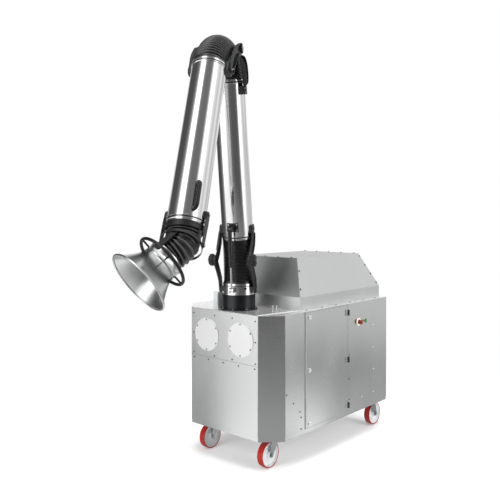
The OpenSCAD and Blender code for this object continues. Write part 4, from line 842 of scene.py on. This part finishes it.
for name, side, node in (("star_knob_left", -1, "knob_left"), ("star_knob_right", 1, "knob_right")):
    verts = [lobed(share, z, i) for share, z in knob_steps for i in range(knob_sides)]
    verts += [v for r, z in knob_bore for v in ring(r, z, knob_sides)]
    faces = skin(0, len(knob_steps) + len(knob_bore), knob_sides, True)
    at = arm_plane @ shift(lift_s, side * knob_y, lift_high) @ turn(-90 * side, "X")
    knob = piece(name, [v * mm for v in verts], faces, black_plastic, node, "black_plastic", at, 40)
    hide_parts(node)
    lathe(name + "_cap_nut", cap_nut, bright_screw, node, "bolt_steel", at, 24)

# Bow handle
# Bent black bar on the upper tube, with a round foot at each end.
bar_r, bar_sides, handle_len, handle_out, corner_r = 12.5, 24, 158, 32, 20
half = handle_len / 2 - bar_r
reach_out = tube_r + handle_out
bends = [radians(a) for a in range(0, 91, 10)]
foot_in = tube_r - 2
path = [((foot_in, -half), 0)]
path += [((reach_out - corner_r + corner_r * sin(a), -half + corner_r - corner_r * cos(a)), a) for a in bends]
path += [((reach_out - corner_r + corner_r * cos(a), half - corner_r + corner_r * sin(a)), a + pi / 2)
         for a in bends]
path += [((foot_in, half), pi)]
verts = [Vector((x + v.x * sin(a), v.y, z - v.x * cos(a))) * mm
         for (x, z), a in path for v in ring(bar_r, 0, bar_sides)]
faces = skin(0, len(path), bar_sides, False) + end_caps(0, len(path), bar_sides)
handle_at = hood_top @ shift(0, 0, 130) @ turn(40, "Z")
bow = piece("bow_grip", verts, faces, black_plastic, "outer_arm", "black_plastic", handle_at, 40)
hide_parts("bow_handle")
foot_steps = [(14, -3), (14, 2.5), (12, 4.5), (9.5, 6)]
fasteners("bow_feet", handle_at, [((tube_r, 0, z), (1, 0, 0)) for z in (-half, half)], foot_steps, 28,
          black_plastic, "outer_arm", "black_plastic")

# Collars of the hoses
# A plain black sleeve under the upper tube, a thin bright band where the lower hose is
# clamped to the hood's neck, and two dark grooves round the turning ring.
sleeve_r, neck_in = tube_r + 2.2, -neck_start - 1
sleeve = [(tube_r + 0.6, -2), (sleeve_r, -3), (sleeve_r, -31), (tube_r + 0.6, -33), (tube_r - 2, -33),
          (tube_r - 2, -2)]
lathe("hood_hose_sleeve", sleeve, black_plastic, "outer_arm", "black_plastic", hood_top)
neck_band = [(neck_r + out, neck_in - down)
             for out, down in ((0.4, 0), (2, 0.6), (2, 7), (0.4, 7.6), (-0.5, 7.6), (-0.5, 0))]
lathe("hood_neck_band", neck_band, band_steel, "hood_body", "bolt_steel", hood_frame)
ring_r = 100
groove = [(-1, 0), (0.5, 0), (0.8, 1), (0.8, 3), (0.5, 4), (-1, 4)]
for name, z in (("ring_groove_low", hose_z - 21), ("ring_groove_top", hose_z - 3.6)):
    lathe(name, [(ring_r + out, z + rise) for out, rise in groove], black_plastic, "swivel", "black_plastic",
          arm_plane)

# Gas spring
# Black lacquered cylinder and chromed rod, and a black plate with four bolts on the
# front of the lower tube, behind the upper eye.
dress(finish("black_lacquered_steel", Base_Color=linear("#151515"), Roughness=0.22, Coat_Weight=0.6)[0],
      "gas_cylinder")
dress(smooth_metal("chromed_rod", "#d9dadb", 0.08), "gas_rod")
eye_z, front = 198, tube_r - base_off
strip("gas_eye_plate", (front - 8, -36, eye_z - 30), (front + 2, 36, eye_z + 26), black_bracket, "inner_arm",
      "black_bracket", inner_frame)
spots = [((front + 2, y, eye_z + z), (1, 0, 0)) for y in (-27, 27) for z in (-20, 16)]
fasteners("gas_plate_bolts", inner_frame, spots, bracket_head, 6, bright_screw, "inner_arm", "bolt_steel")

bpy.context.view_layer.update()
